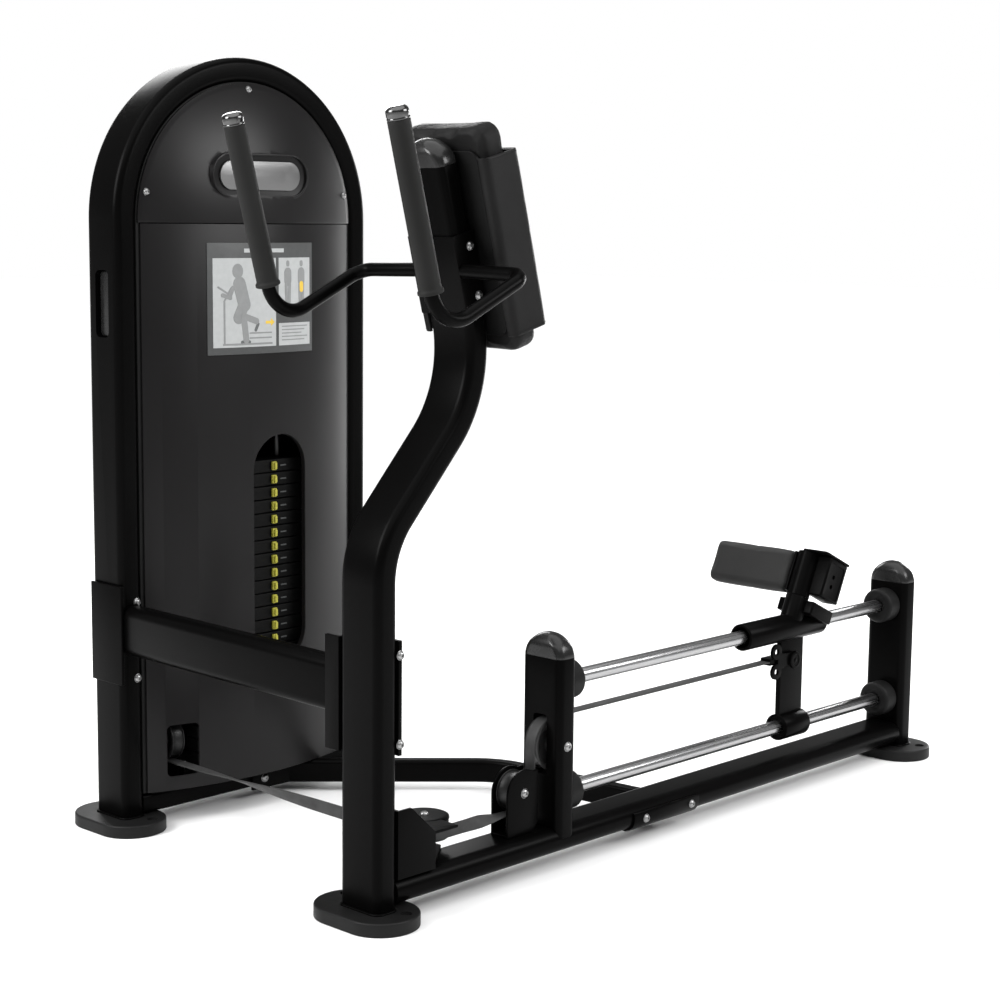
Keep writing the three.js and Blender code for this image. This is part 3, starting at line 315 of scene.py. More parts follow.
def woven(name, dark, light):
    """Belt webbing: ribs across a rubber coat."""
    g = Graph(name)
    rib = g.node("ShaderNodeTexWave", {"bands_direction": "DIAGONAL"}, Scale=220.0, Distortion=0.6)
    g.links.new(g.place(), rib.inputs["Vector"])
    color = g.mix(g.spread(g.noise(40, 5), 0, 1), dark, light)
    relief = g.bump(rib.outputs["Fac"], 0.0002, 0.5)
    roughness = g.spread(g.noise(60, 4), 0.55, 0.7)
    return g.set(Base_Color=color, Roughness=roughness, Normal=relief, Specular_IOR_Level=0.4)


def dotted(name, plate, dot):
    """Brushed badge plate with a field of fine dots."""
    g = Graph(name)
    cell = g.node("ShaderNodeTexVoronoi", {"feature": "F1"}, Scale=190.0, Randomness=0.0)
    g.links.new(g.place(), cell.inputs["Vector"])
    inside = g.math("LESS_THAN", cell.outputs["Distance"], 0.33)
    color = g.mix(inside, plate, dot)
    relief = g.bump(inside, 0.0002, 0.4)
    roughness = g.spread(g.noise(50, 4), 0.3, 0.42)
    return g.set(Base_Color=color, Metallic=0.7, Roughness=roughness, Normal=relief)


def printed(name, color):
    """Ink on a satin plastic sheet."""
    g = Graph(name)
    paler = tuple(min(1.0, c * 1.08 + 0.004) for c in color)
    shade = g.mix(g.spread(g.noise(90, 4), 0, 1), color, paler)
    roughness = g.spread(g.noise(30, 3), 0.4, 0.5)
    skin = g.bump(g.noise(1500, 2), 0.00003, 0.3)
    return g.set(Base_Color=shade, Roughness=roughness, Normal=skin, Specular_IOR_Level=0.35)


def floor_material():
    g = Graph("pale_floor")
    color = g.mix(g.spread(g.noise(1.2, 3), 0, 1), (0.86, 0.86, 0.86), (0.9, 0.9, 0.9))
    return g.set(Base_Color=color, Roughness=0.7, Specular_IOR_Level=0.2)


def grey(value):
    return (value, value, value)


PAINT = powder_coat("frame_paint", grey(0.0009), (0.0017, 0.0016, 0.0016), 0.3, 0.03)
SHROUD = powder_coat(
    "shroud_paint", (0.0062, 0.0058, 0.006), (0.008, 0.0076, 0.0078), 0.3, 0.16, 0.00006
)
IRON = powder_coat("stack_paint", grey(0.0015), grey(0.003), 0.5, 0.1, 0.0003)
CAP = moulded("cap_plastic", grey(0.007), grey(0.013), 0.24, 0.3, 160.0, 0.0003)
RUBBER = moulded("grip_rubber", (0.010, 0.010, 0.0097), (0.014, 0.014, 0.0136), 0.6, 0.12)
FOOT = moulded("foot_rubber", grey(0.006), grey(0.009), 0.5, 0.15, 500.0)
BUFFER = moulded("bumper_rubber", grey(0.004), grey(0.0065), 0.5, 0.12)
TREAD = moulded("foot_pad_rubber", grey(0.014), (0.021, 0.021, 0.0205), 0.6, 0.16, 420.0)
WHEEL = moulded("pulley_nylon", grey(0.007), grey(0.012), 0.36, 0.3)
YELLOW = moulded("lever_yellow", (0.36, 0.34, 0.035), (0.44, 0.41, 0.045), 0.45)
CHROME = steel("end_chrome", grey(0.1), 0.16, (1, 1, 1), 0.00002)
ROD_STEEL = steel("rod_chrome", (0.4, 0.4, 0.405), 0.24, (0.05, 9, 9))
GUIDE_STEEL = steel("guide_steel", grey(0.06), 0.3, (9, 9, 0.05))
BOLT = steel("bolt_steel", grey(0.3), 0.3, (1, 1, 1))
VINYL = vinyl("upholstery_vinyl", (0.0034, 0.0033, 0.0033), (0.006, 0.0058, 0.0059))
BELT = woven("belt_webbing", grey(0.02), grey(0.034))
BADGE = dotted("badge_dots", grey(0.16), grey(0.05))
PANEL_GREY = printed("placard_grey", (0.045, 0.047, 0.047))
PANEL_WHITE = printed("placard_white", (0.37, 0.38, 0.38))
INK = printed("placard_ink", (0.09, 0.095, 0.095))
INK_SOFT = printed("placard_soft_ink", (0.2, 0.205, 0.205))
INK_YELLOW = printed("placard_yellow", (0.62, 0.42, 0.05))

# ---------------------------------------------------------------- geometry
# A shape is (points, faces) in millimetres.


def merged(*shapes):
    points, faces = [], []
    for some_points, some_faces in shapes:
        base = len(points)
        points += some_points
        faces += [tuple(base + i for i in face) for face in some_faces]
    return points, faces


def moved(shape, matrix):
    points, faces = shape
    return [matrix @ Vector(p) for p in points], faces


def shifted(shape, x=0.0, y=0.0, z=0.0):
    return moved(shape, Matrix.Translation((x, y, z)))


def loft(rings, closed=False):
    """Quads between rings of equal length; the two end rings are capped unless closed."""
    count = len(rings[0])
    points = [Vector(p) for ring in rings for p in ring]
    faces = []
    last = len(rings) if closed else len(rings) - 1
    for r in range(last):
        here, there = r * count, ((r + 1) % len(rings)) * count
        for i in range(count):
            j = (i + 1) % count
            faces.append((here + i, here + j, there + j, there + i))
    if not closed:
        faces.append(tuple(reversed(range(count))))
        faces.append(tuple((len(rings) - 1) * count + i for i in range(count)))
    return points, faces


def rounded_rect(width, height, radius, steps=8):
    x, y = width / 2 - radius, height / 2 - radius
    corners = [(x, y, 0), (-x, y, 90), (-x, -y, 180), (x, -y, 270)]
    points = []
    for cx, cy, start in corners:
        for i in range(steps + 1):
            angle = math.radians(start + 90 * i / steps)
            points.append((cx + radius * math.cos(angle), cy + radius * math.sin(angle)))
    return points


def stadium(width, height, steps=12):
    return rounded_rect(width, height, min(width, height) / 2 - 0.01, steps)


def circle(radius, sides=48):
    turn = 2 * math.pi / sides
    return [(radius * math.cos(turn * i), radius * math.sin(turn * i)) for i in range(sides)]


def inset(outline, distance):
    """The outline moved inward by the distance, for outlines that run counterclockwise."""
    count = len(outline)
    result = []
    for i in range(count):
        before = Vector(outline[i - 1])
        here = Vector(outline[i])
        after = Vector(outline[(i + 1) % count])
        a, b = (here - before).normalized(), (after - here).normalized()
        normal = Vector((-a.y - b.y, a.x + b.x))
        if normal.length < 1e-9:
            normal = Vector((-a.y, a.x))
        normal.normalize()
        reach = distance / max(0.35, normal.dot(Vector((-a.y, a.x))))
        result.append(tuple(here + normal * reach))
    return result


def edge_steps(radius, steps=3):
    """Pairs of (inset, depth) that round an edge, from the end face to the side."""
    pairs = []
    for i in range(steps + 1):
        angle = math.pi / 2 * i / steps
        pairs.append((radius * (1 - math.sin(angle)), radius * (1 - math.cos(angle))))
    return pairs


def lay(axis, a, b, along):
    """A point from a section's two coordinates and the distance along the axis."""
    return {"x": (along, a, b), "y": (a, along, b), "z": (a, b, along)}[axis]


def prism(axis, outline, start, stop, edge=1.0, x=0.0, y=0.0, z=0.0, stop_edges=None):
    """A bar of that section with rounded end edges. stop_edges rounds its last end differently."""
    rings = []
    for pull, depth in edge_steps(edge):
        rings.append([lay(axis, a, b, start + depth) for a, b in inset(outline, pull)])
    for pull, depth in reversed(stop_edges or edge_steps(edge)):
        rings.append([lay(axis, a, b, stop - depth) for a, b in inset(outline, pull)])
    return shifted(loft(rings), x, y, z)


def block(xs, ys, zs, edge=1.0):
    """A box with rounded edges all round."""
    size = [high - low for low, high in (xs, ys, zs)]
    centre = [(low + high) / 2 for low, high in (xs, ys, zs)]
    radius = min(edge * 1.5, min(size) * 0.45)
    outline = rounded_rect(size[0], size[1], radius, 4)
    return prism("z", outline, zs[0], zs[1], min(edge, min(size) * 0.45), x=centre[0], y=centre[1])


def lathe(profile, axis="z", x=0.0, y=0.0, z=0.0, sides=64, closed=False):
    """A turned piece from [radius, distance along the axis] points."""
    rings = [[lay(axis, a, b, h) for a, b in circle(max(r, 0.01), sides)] for r, h in profile]
    return shifted(loft(rings, closed), x, y, z)


def rounded_rod(axis, radius, start, stop, edge=1.0, x=0.0, y=0.0, z=0.0, sides=64):
    return prism(axis, circle(radius, sides), start, stop, edge, x=x, y=y, z=z)


def sweep(section, path, side, edge=0.8):
    """The section carried along the path. side is the direction of its first axis, one for all or
    one for each point."""
    count = len(path)
    sides = side if isinstance(side, list) else [side] * count
    tangents = []
    for i in range(count):
        tangents.append((path[min(i + 1, count - 1)] - path[max(i - 1, 0)]).normalized())

    def ring(i, along, pull):
        first = (sides[i] - tangents[i] * sides[i].dot(tangents[i])).normalized()
        second = tangents[i].cross(first)
        centre = path[i] + tangents[i] * along
        return [centre + first * a + second * b for a, b in inset(section, pull)]

    rings = [ring(0, depth, pull) for pull, depth in edge_steps(edge)]
    rings += [ring(i, 0, 0) for i in range(1, count - 1)]
    rings += [ring(count - 1, -depth, pull) for pull, depth in reversed(edge_steps(edge))]
    return loft(rings)


def filleted(start, corners, end, step=3.0):
    """Points along straight runs joined by arcs. Each corner is (point, radius)."""
    stops = [Vector(start), *[Vector(at) for at, _ in corners], Vector(end)]
    points = [stops[0]]
    for i, (_, radius) in enumerate(corners):
        vertex = stops[i + 1]
        arriving = (vertex - stops[i]).normalized()
        leaving = (stops[i + 2] - vertex).normalized()
        turn = arriving.angle(leaving)
        begin = vertex - arriving * radius * math.tan(turn / 2)
        axis = arriving.cross(leaving).normalized()
        centre = begin + axis.cross(arriving) * radius
        steps = max(3, math.ceil(math.degrees(turn) / step))
        for k in range(steps + 1):
            spoke = Matrix.Rotation(turn * k / steps, 3, axis) @ (begin - centre)
            points.append(centre + spoke)
    points.append(stops[-1])
    return points


# ---------------------------------------------------------------- objects


def new_object(name, shape):
    points, faces = shape
    mesh = bpy.data.meshes.new(name)
    mesh.from_pydata([TO_ROW @ Vector(p) for p in points], [], faces)
    work = bmesh.new()
    work.from_mesh(mesh)
    bmesh.ops.recalc_face_normals(work, faces=work.faces)
    work.to_mesh(mesh)
    work.free()
    made = bpy.data.objects.new(name, mesh)
    bpy.context.scene.collection.objects.link(made)
    return made


def baked(made):
    """Replaces the object's mesh by what its modifiers make of it."""
    bpy.context.view_layer.update()
    graph = bpy.context.evaluated_depsgraph_get()
    mesh = bpy.data.meshes.new_from_object(made.evaluated_get(graph))
    made.modifiers.clear()
    made.data = mesh


def carve(made, tools, operation="DIFFERENCE"):
    for shape in tools:
        tool = new_object("tool", shape)
        change = made.modifiers.new("boolean", "BOOLEAN")
        change.operation = operation
        change.solver = "EXACT"
        change.object = tool
        baked(made)
        bpy.data.objects.remove(tool)


def chamfer(made, width, segments=2, angle=35.0):
    change = made.modifiers.new("edge", "BEVEL")
    change.width = width / 1000
    change.segments = segments
    change.limit_method = "ANGLE"
    change.angle_limit = math.radians(angle)
    baked(made)


def joined(plates, edge):
    """Overlapping plates made one, with eased edges."""
    made = new_object("plates", plates[0])
    carve(made, plates[1:], "UNION")
    chamfer(made, edge)
    return made


def smooth(made, angle=32.0):
    made.data.shade_smooth()
    made.data.set_sharp_from_angle(angle=math.radians(angle))


def piece(name, material, shape, replaces=(), angle=32.0, body=ROOT):
    """Makes one visible piece in the given material."""
    made = shape if isinstance(shape, bpy.types.Object) else new_object(name, shape)
    made.name = name
    made.data.materials.clear()
    made.data.materials.append(material)
    smooth(made, angle)
    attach(made, body)
    if replaces:
        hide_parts(*replaces)


def painted(name, shape, node, angle=32.0):
    """A painted piece that stands for one CAD node."""
    piece(name, PAINT, shape, (node,), angle)


def bolt(name, axis, side, x, y, z, radius=9.0, body=ROOT, turn=None):
    """A domed button head with a hexagon socket, on its washer."""
    r = radius
    profile = [(r * 1.08, -0.8), (r * 1.08, 0.3), (r, 0.6), (r * 0.97, 1.6), (r * 0.84, 3.4)]
    profile += [(r * 0.62, 4.7), (r * 0.42, 5.3), (r * 0.36, 5.2), (r * 0.34, 3.2)]
    head = lathe([(a, b * side) for a, b in profile], axis, sides=36)
    head = shifted(head, x, y, z) if turn is None else moved(shifted(head, x, y, z), turn)
    piece(name, BOLT, head, body=body)


def axle(name, axis, at, half, edge=0.5):
    rod = rounded_rod(axis, 8, -half, half, edge, sides=40)
    piece(name, BOLT, shifted(rod, *at))


def bolts(name, axis, side, places, radius=9.0):
    for i, at in enumerate(places):
        bolt(f"{name}_{i + 1}", axis, side, *at, radius)


# ---------------------------------------------------------------- frame

TUBE = rounded_rect(TUBE_WIDE, TUBE_DEEP, TUBE_ROUND)
UPRIGHT_TUBE = rounded_rect(TUBE_DEEP, TUBE_WIDE, TUBE_ROUND)
X, Y, Z = Vector((1, 0, 0)), Vector((0, 1, 0)), Vector((0, 0, 1))


def foot(name, x, y):
    outline = rounded_rect(141, 214, 70.4, 24)
    shape = prism("z", outline, 0, FOOT_THICK, 1.2, x=x, y=y, stop_edges=edge_steps(4, 5))
    made = new_object(name, shape)
    holes = []
    for side in (-1, 1):
        at = {"x": x + 22, "y": y + side * 78.5}
        holes.append(rounded_rod("z", 6, -5, 40, 0.1, **at, sides=32))
        holes.append(rounded_rod("z", 11, 19, 40, 0.1, **at, sides=32))
    carve(made, holes)
    piece(name, FOOT, made, (name[:-4],), 40)


def cap_shape():
    """A dome that keeps the tube's section at its foot and is round both ways at the top."""
    top = 46.6
    rings = []
    for pull, depth in edge_steps(1.0):
        rings.append([(a, b, depth) for a, b in inset(UPRIGHT_TUBE, pull)])
    for i in range(1, 25):
        z = 1 + (top - 1) * math.sin(math.pi / 2 * i / 24)
        half_y = TUBE_WIDE / 2 * math.sqrt(max(0.0, 1 - (z / 46.8) ** 2))
        half_x = TUBE_DEEP / 2
        if z > 21.8:
            half_x = math.sqrt(max(0.0, 25**2 - (z - 21.8) ** 2))
        share = (z / top) ** 1.5
        radius = TUBE_ROUND + (TUBE_DEEP / 2 - TUBE_ROUND) * share
        radius = min(radius, half_x - 0.02, half_y - 0.02)
        outline = rounded_rect(2 * half_x, 2 * half_y, max(radius, 0.05))
        rings.append([(a, b, z) for a, b in outline])
    return loft(rings)


def add_post():
    foot("post_foot_pad", 3, 7)
    corners = [((0, 0, 673), 170), ((246, 0, 943.5), 230)]
    path = filleted((0, 0, FOOT_THICK + GAP), corners, POST_TOP)
    painted("chest_post_tube", sweep(TUBE, path, Y), "chest_post")
    place = Matrix.Translation(POST_TOP) @ Matrix.Rotation(-LEAN, 4, "Y")
    place = place @ Matrix.Translation((0, 0, GAP))
    piece("post_cap_dome", CAP, moved(cap_shape(), place), ("post_cap",), 60)
    weld("post_foot_weld", 0, 0, FOOT_THICK + 1.2)


def weld(name, x, y, z):
    """A bead of weld round the foot of an upright tube."""
    outline = inset(UPRIGHT_TUBE, -1.2)
    path = [Vector((x + a, y + b, z)) for a, b in outline]
    count = len(path)
    rings = []
    for i in range(count):
        along = (path[(i + 1) % count] - path[i - 1]).normalized()
        across = along.cross(Z)
        swell = 3.1 + 0.35 * math.sin(i * 2.1) + 0.25 * math.sin(i * 0.9)
        ring = []
        for k in range(10):
            angle = 2 * math.pi * k / 10
            lift = across * math.cos(angle) * swell + Z * math.sin(angle) * swell * 0.8
            ring.append(path[i] + lift)
        rings.append(ring)
    piece(name, PAINT, loft(rings, closed=True), angle=80)


def add_beam():
    beam = prism("x", stadium(100, 50), 25 + GAP, FAR_X - 25 - GAP, 0.6, z=BEAM_Z)
    painted("base_beam_tube", beam, "base_beam")
    add_beam_saddle()


def clip_arc(start, sweep_angle, radius, steps=24):
    """Points round a flat oval of the beam's shape, by angles from its near side."""
    points = []
    for i in range(steps + 1):
        angle = math.radians(start + sweep_angle * i / steps)
        lobe = 25 if math.cos(angle) > 0 else -25
        points.append((lobe + radius * math.cos(angle), radius * math.sin(angle)))
    return points


def add_beam_saddle():
    """The clip that hugs the beam from below, where the brace meets it."""
    section = clip_arc(21.5, -223, 30) + clip_arc(-205.8, 231.6, 25.3)
    rings = [[(x, a, BEAM_Z + b) for a, b in reversed(section)] for x in (670, 876)]
    saddle = new_object("saddle", loft(rings))
    chamfer(saddle, 1.0)
    painted("beam_saddle_clip", saddle, "beam_saddle")
    for i, x in enumerate((705, 851)):
        for name, side in (("bolt", -1), ("far_bolt", 1)):
            bolt(f"beam_saddle_{name}_{i + 1}", "y", side, x, side * 55.2, BEAM_Z - 4, 8)


def add_brace():
    section = rounded_rect(50, 30, 9, 6)
    rail = TOWER_Y - 45 - GAP
    path = filleted((440, rail + 10, BRACE_Z), [((772, 416, BRACE_Z), 150)], (812, 50, BRACE_Z), 3)
    tube = new_object("brace", sweep(section, path, Z))
    carve(tube, [prism("x", stadium(112, 62), 600, 1000, 0.1, z=BEAM_Z)])
    carve(tube, [block((200, 700), (rail, 900), (-5, 200), 0.1)])
    painted("diagonal_brace_tube", tube, "diagonal_brace", angle=40)
    flange = block((335, 490), (rail - 8, rail), (BRACE_Z - 23, BRACE_Z + 23), 1.5)
    piece("diagonal_brace_flange", PAINT, flange)
    bolt("diagonal_brace_bolt", "y", -1, 368, rail - 8, BRACE_Z, 9)


def add_uprights():
    foot("far_foot_pad", FAR_X, 3)
    weld("far_foot_weld", FAR_X, 0, FOOT_THICK + 1.2)
    far = prism("z", UPRIGHT_TUBE, FOOT_THICK + GAP, UPRIGHT_TOP, 0.8, x=FAR_X)
    painted("far_upright_tube", far, "far_upright")
    near = new_object("near", prism("z", UPRIGHT_TUBE, BEAM_Z + 6, UPRIGHT_TOP, 0.8, x=FRONT_X))
    carve(near, [prism("x", stadium(100.6, 50.6), FRONT_X - 60, FRONT_X + 60, 0.1, z=BEAM_Z)])
    slot = rounded_rect(35, 116, 6)
    carve(near, [prism("x", slot, FRONT_X - 40, FRONT_X + 40, 0.1, z=242)])
    painted("front_upright_tube", near, "front_upright", angle=40)
    axle("upper_pulley_axle", "y", UPPER_AT, 18)
    for name, side in NEAR_FAR:
        bolt(f"upper_pulley_{name}_bolt", "y", side, UPPER_AT[0], side * TUBE_WIDE / 2, UPPER_AT[2])
    for name, x in (("front", FRONT_X), ("far", FAR_X)):
        dome = shifted(cap_shape(), x, 0, UPRIGHT_TOP + GAP)
        node = f"{name}_upright_cap"
        piece(f"{node}_dome", CAP, dome, (node,), 60)


def add_rods():
    start, stop = FRONT_X + 25 + GAP, FAR_X - 25 - GAP
    profile = [(15.8, 1.5), (16.6, 0.3), (30, 0), (37.5, 0), (39, 1.5), (39, 32)]
    profile += [(38.6, 34.6), (37.4, 36.8), (35.5, 38.6), (33, 39.6), (30, 40), (24, 40)]
    profile += [(22.8, 39.2), (21, 38.4), (17.4, 38.2), (16.2, 37.8), (15.8, 37)]
    for level, z in (("upper", UPPER_ROD_Z), ("lower", LOWER_ROD_Z)):
        rod = rounded_rod("x", ROD_R, start, stop, 0.8, z=z)
        piece(f"{level}_rod_bar", ROD_STEEL, rod, (f"{level}_rod",))
        for name, at, side in (("near", start, 1), ("far", stop, -1)):
            node = f"{level}_{name}_bumper"
            body = lathe([(r, h * side) for r, h in profile], "x", at, 0, z, 72, closed=True)
            piece(f"{node}_ring", BUFFER, body, (node,), 40)


# ---------------------------------------------------------------- crossbar


def add_crossbar():
    ends = [Vector((9, 62, CROSSBAR_Z)), Vector((30, TOWER_Y - 51.2, CROSSBAR_Z))]
    section = rounded_rect(TUBE_WIDE, TUBE_DEEP, 20)
    painted("crossbar_tube", sweep(section, ends, Z), "crossbar")
    zs = (305, 510)
    plates = [block((-25, 43), (50.3, 56.3), zs)]
    cheeks = [((-25, -18.5), (50.3, 86)), ((36.5, 43), (50.3, 86)), ((25.3, 43), (42.3, 56.3))]
    cheeks.append(((25.3, 33), (-50, 50.3)))
    plates += [block(xs, ys, zs, 0.01) for xs, ys in cheeks]
    painted("crossbar_saddle_plate", joined(plates, 1.2), "crossbar_saddle")
    bolts("crossbar_saddle_bolt", "y", -1, [(29, -50, z) for z in (325, 484)], 8)
    face = TOWER_X - TOWER_HALF - GAP
    anchor = block((face - 7, face), (TOWER_Y - 58, TOWER_Y + 44), (305, 505), 1.5)
    painted("crossbar_anchor_plate", anchor, "crossbar_anchor")
    places = [(42, TOWER_Y - TUBE_WIDE / 2, z) for z in (313, 468)]
    bolts("crossbar_anchor_bolt", "y", -1, places, 8)


# ---------------------------------------------------------------- tower


def arch_path(radius, y, low, steps=72):
    """Up one leg of the tower, over the half round and down the other leg."""
    path = [Vector((TOWER_X - radius, y, low))]
    for i in range(steps + 1):
        angle = math.pi * (1 - i / steps)
        across, up = radius * math.cos(angle), radius * math.sin(angle)
        path.append(Vector((TOWER_X + across, y, ARCH_Z + up)))
    path.append(Vector((TOWER_X + radius, y, low)))
    return path


def add_tower_frame():
    arch = new_object("arch", sweep(TUBE, arch_path(ARCH_R, TOWER_Y, FOOT_THICK + GAP), Y))
    pocket = rounded_rect(42, 132, 12)
    for side in (-1, 1):
        face = TOWER_X + side * TOWER_HALF
        carve(arch, [prism("x", pocket, face - 16, face + 16, 0.1, y=TOWER_Y, z=POCKET_Z)])
    painted("tower_arch_tube", arch, "tower_arch_frame", angle=40)
    for name, side in LEFT_RIGHT:
        x = TOWER_X + side * ARCH_R
        foot(f"tower_{name}_foot_pad", x, TOWER_Y)
        weld(f"tower_{name}_foot_weld", x, TOWER_Y, FOOT_THICK + 1.2)
        face = TOWER_X + side * (TOWER_HALF - 15.6)
        ends = sorted((face, face + side * 6))
        lining = prism("x", rounded_rect(36, 126, 9), *ends, 1.0, y=TOWER_Y, z=POCKET_Z)
        piece(f"tower_{name}_pocket_plug", CAP, lining)


def add_tower_base():
    rail = rounded_rect(90, 40, 8)
    half = TOWER_HALF - TUBE_DEEP - GAP
    bar = prism("x", rail, TOWER_X - half, TOWER_X + half, 0.8, y=TOWER_Y, z=46)
    painted("tower_base_rail", bar, "tower_base")
    for name, side in LEFT_RIGHT:
        seat = [(11, 65.5), (28, 65.5), (27.6, 70), (24.4, 103), (22, 106.5), (11, 106.5)]
        ring = lathe(seat, "z", TOWER_X + side * GUIDE_OFFSET, STACK_Y, closed=True)
        piece(f"stack_seat_{name}", BUFFER, ring)
    ys = (TOWER_AT[1] - 18, TOWER_AT[1] + 18)
    plates = [block((BELT_X - 22.5, BELT_X + 22.5), ys, (65.5, 71))]
    for xs in ((BELT_X - 22.5, BELT_X - 17.5), (BELT_X + 17.5, BELT_X + 22.5)):
        plates.append(block(xs, ys, (66, TOWER_AT[2] + 18), 0.01))
    piece("tower_pulley_bracket", PAINT, joined(plates, 1.0))
    axle("tower_pulley_axle", "x", TOWER_AT, 18.5)
    add_floor_pan()
    for name, side in LEFT_RIGHT:
        rod = rounded_rod("z", 10, 66.3, 1263.7, 0.6, sides=40)
        rod = shifted(rod, TOWER_X + side * GUIDE_OFFSET, STACK_Y)
        piece(f"{name}_guide_bar", GUIDE_STEEL, rod, (f"{name}_guide_rod",))


def add_floor_pan():
    """The sheet that closes the tower's foot between the two shrouds."""
    pan = []
    for side in (-1, 1):
        for i in range(33):
            x = TOWER_X - side * 262 * (1 - i / 16)
            pan.append((x, shroud_face(x, side) - side * 4.5))
    piece("tower_floor_pan", PAINT, prism("z", pan, 66.5, 69, 0.3))


def shroud_face(x, side=-1):
    """y of the shroud's outer face at that x."""
    rise = math.sqrt(SHROUD_R**2 - (x - TOWER_X) ** 2) - (SHROUD_R - SHROUD_BULGE)
    return TOWER_Y + side * (TUBE_WIDE / 2 + rise)


def curved_sheet(xs, zs, thick, side=-1, lift=0.0, columns=64, edge=0.6):
    """A sheet that follows the shroud's face between two x and two z."""
    outline = []
    for i in range(columns + 1):
        x = xs[0] + (xs[1] - xs[0]) * i / columns
        outline.append((x, shroud_face(x, side) + side * lift))
    for i in range(columns, -1, -1):
        x = xs[0] + (xs[1] - xs[0]) * i / columns
        outline.append((x, shroud_face(x, side) + side * (lift - thick)))
    if side < 0:
        return prism("z", outline, zs[0], zs[1], edge)
    return prism("z", list(reversed(outline)), zs[0], zs[1], edge)


def dome_shape(side, low, steps=20):
    """The domed half-round panel above that height, as one closed shell."""
    rim = TOWER_Y + side * TUBE_WIDE / 2
    outer, inner = [], []
    for i in range(steps + 1):
        share = i / steps
        depth = SHROUD_BULGE * (1 - share**2)
        outer.append((PANEL_R * share, rim + side * depth))
        inner.append((PANEL_R * share, rim + side * (depth - 3)))
    profile = [*outer, *reversed(inner)]
    made = new_object("dome", lathe(profile, "y", TOWER_X, 0, ARCH_Z, 128))
    cutter = block((0, 700), (600, 950), (low - 400, low), 0.01)
    carve(made, [cutter])
    return made


def add_shrouds():
    xs = (TOWER_X - SHROUD_HALF + 0.5, TOWER_X + SHROUD_HALF - 0.5)
    zs = (SHROUD_LOW, ARCH_Z - 6.5)
    front = new_object("front", curved_sheet(xs, zs, 3, columns=96))
    slot = prism("y", stadium(SLOT_WIDE, SLOT_TALL, 24), 600, 760, 0.1, x=SLOT_X, z=SLOT_Z)
    hole = prism("y", rounded_rect(68, 107, 10), 600, 760, 0.1, x=BELT_X, z=152.5)
    carve(front, [slot, hole])
    piece("lower_front_skin", SHROUD, front, ("lower_front_shroud",), 30)
    piece("rear_upper_skin", SHROUD, dome_shape(1, ARCH_Z - 5), angle=30)
    back = curved_sheet(xs, zs, 3, side=1, columns=96)
    piece("rear_skin", SHROUD, back, ("rear_shroud",), 30)
    piece("lever_slot_lip", SHROUD, slot_lip())
    for name, side in (("front", -1), ("rear", 1)):
        joint = curved_sheet(xs, (ARCH_Z - 30, ARCH_Z + 10), 2, side, -3.3)
        piece(f"{name}_joint_strip", PAINT, joint)
        add_gasket(f"{name}_edge_gasket", TOWER_Y + side * (TUBE_WIDE / 2 - 6.9))


def add_gasket(name, y):
    """The seal that closes the gap between a shroud's edge and the arch tube."""
    path = arch_path(SHROUD_HALF - 2, y, SHROUD_LOW)
    piece(name, BUFFER, sweep(rounded_rect(6.4, 20, 1.5, 3), path, Y))


def slot_lip():
    """The edge folded in round the lever slot, following the bulging face."""
    section = [(0, 0), (0.8, 0), (1.6, -0.4), (2, -1.2), (2, -11), (0, -11)]
    rings = []
    for a, b in stadium(SLOT_WIDE - 0.6, SLOT_TALL - 0.6, 24):
        inward = Vector((-a, 0, -b)).normalized()
        base = Vector((SLOT_X + a, shroud_face(SLOT_X + a), SLOT_Z + b))
        rings.append([base + inward * s - Y * t for s, t in section])
    return loft(rings, closed=True)


def add_upper_panel():
    front = TOWER_Y - TUBE_WIDE / 2 - SHROUD_BULGE
    panel = dome_shape(-1, ARCH_Z - 4.5, 24)
    tray = prism("y", stadium(250, 88, 20), front + 6, front + 18, 0.5, x=TOWER_X, z=BADGE_Z)
    carve(panel, [tray], "UNION")
    pocket = prism("y", stadium(242, 80, 20), front - 5, front + 12, 0.1, x=TOWER_X, z=BADGE_Z)
    carve(panel, [pocket])
    chamfer(panel, 0.8, 2, 60)
    piece("upper_front_skin", SHROUD, panel, ("upper_front_panel",), 30)
    plate = prism("y", stadium(208, 58, 20), front + 7.7, front + 11.7, 0.8, x=TOWER_X, z=BADGE_Z)
    piece("badge_dotted_plate", BADGE, plate, ("badge_plate",))
    places = []
    for angle in (12, 90, 168):
        across = (PANEL_R - 13) * math.cos(math.radians(angle))
        up = (PANEL_R - 13) * math.sin(math.radians(angle))
        places.append((TOWER_X + across, front + SHROUD_BULGE - 4, ARCH_Z + up))
    bolts("upper_panel_screw", "y", -1, places, 7)


def decal(outline, lift=0.35, base=1.8):
    """A thin printed shape on the placard. The outline is in x and z from the placard's middle."""
    rings = []
    for out in (base, base + lift):
        ring = [(TOWER_X + a, shroud_face(TOWER_X + a) - out, PLACARD_Z + b) for a, b in outline]
        rings.append(ring)
    return loft(rings)


def bar_outline(x0, x1, z0, z1, columns=8):
    """Outline of an upright rectangle with points along its length, so that it can bend."""
    low = [(x0 + (x1 - x0) * i / columns, z0) for i in range(columns + 1)]
    return low + [(x, z1) for x, _ in reversed(low)]


def strip(x0, x1, z0, z1):
    return decal(bar_outline(x0, x1, z0, z1))


def capsule(start, stop, width, steps=8):
    """Outline of a thick line with round ends."""
    a, b = Vector(start), Vector(stop)
    heading = math.atan2(b.y - a.y, b.x - a.x)
    points = []
    for centre, turn in ((b, -math.pi / 2), (a, math.pi / 2)):
        for i in range(steps + 1):
            angle = heading + turn + math.pi * i / steps
            points.append(centre + Vector((math.cos(angle), math.sin(angle))) * width / 2)
    return [tuple(p) for p in points]


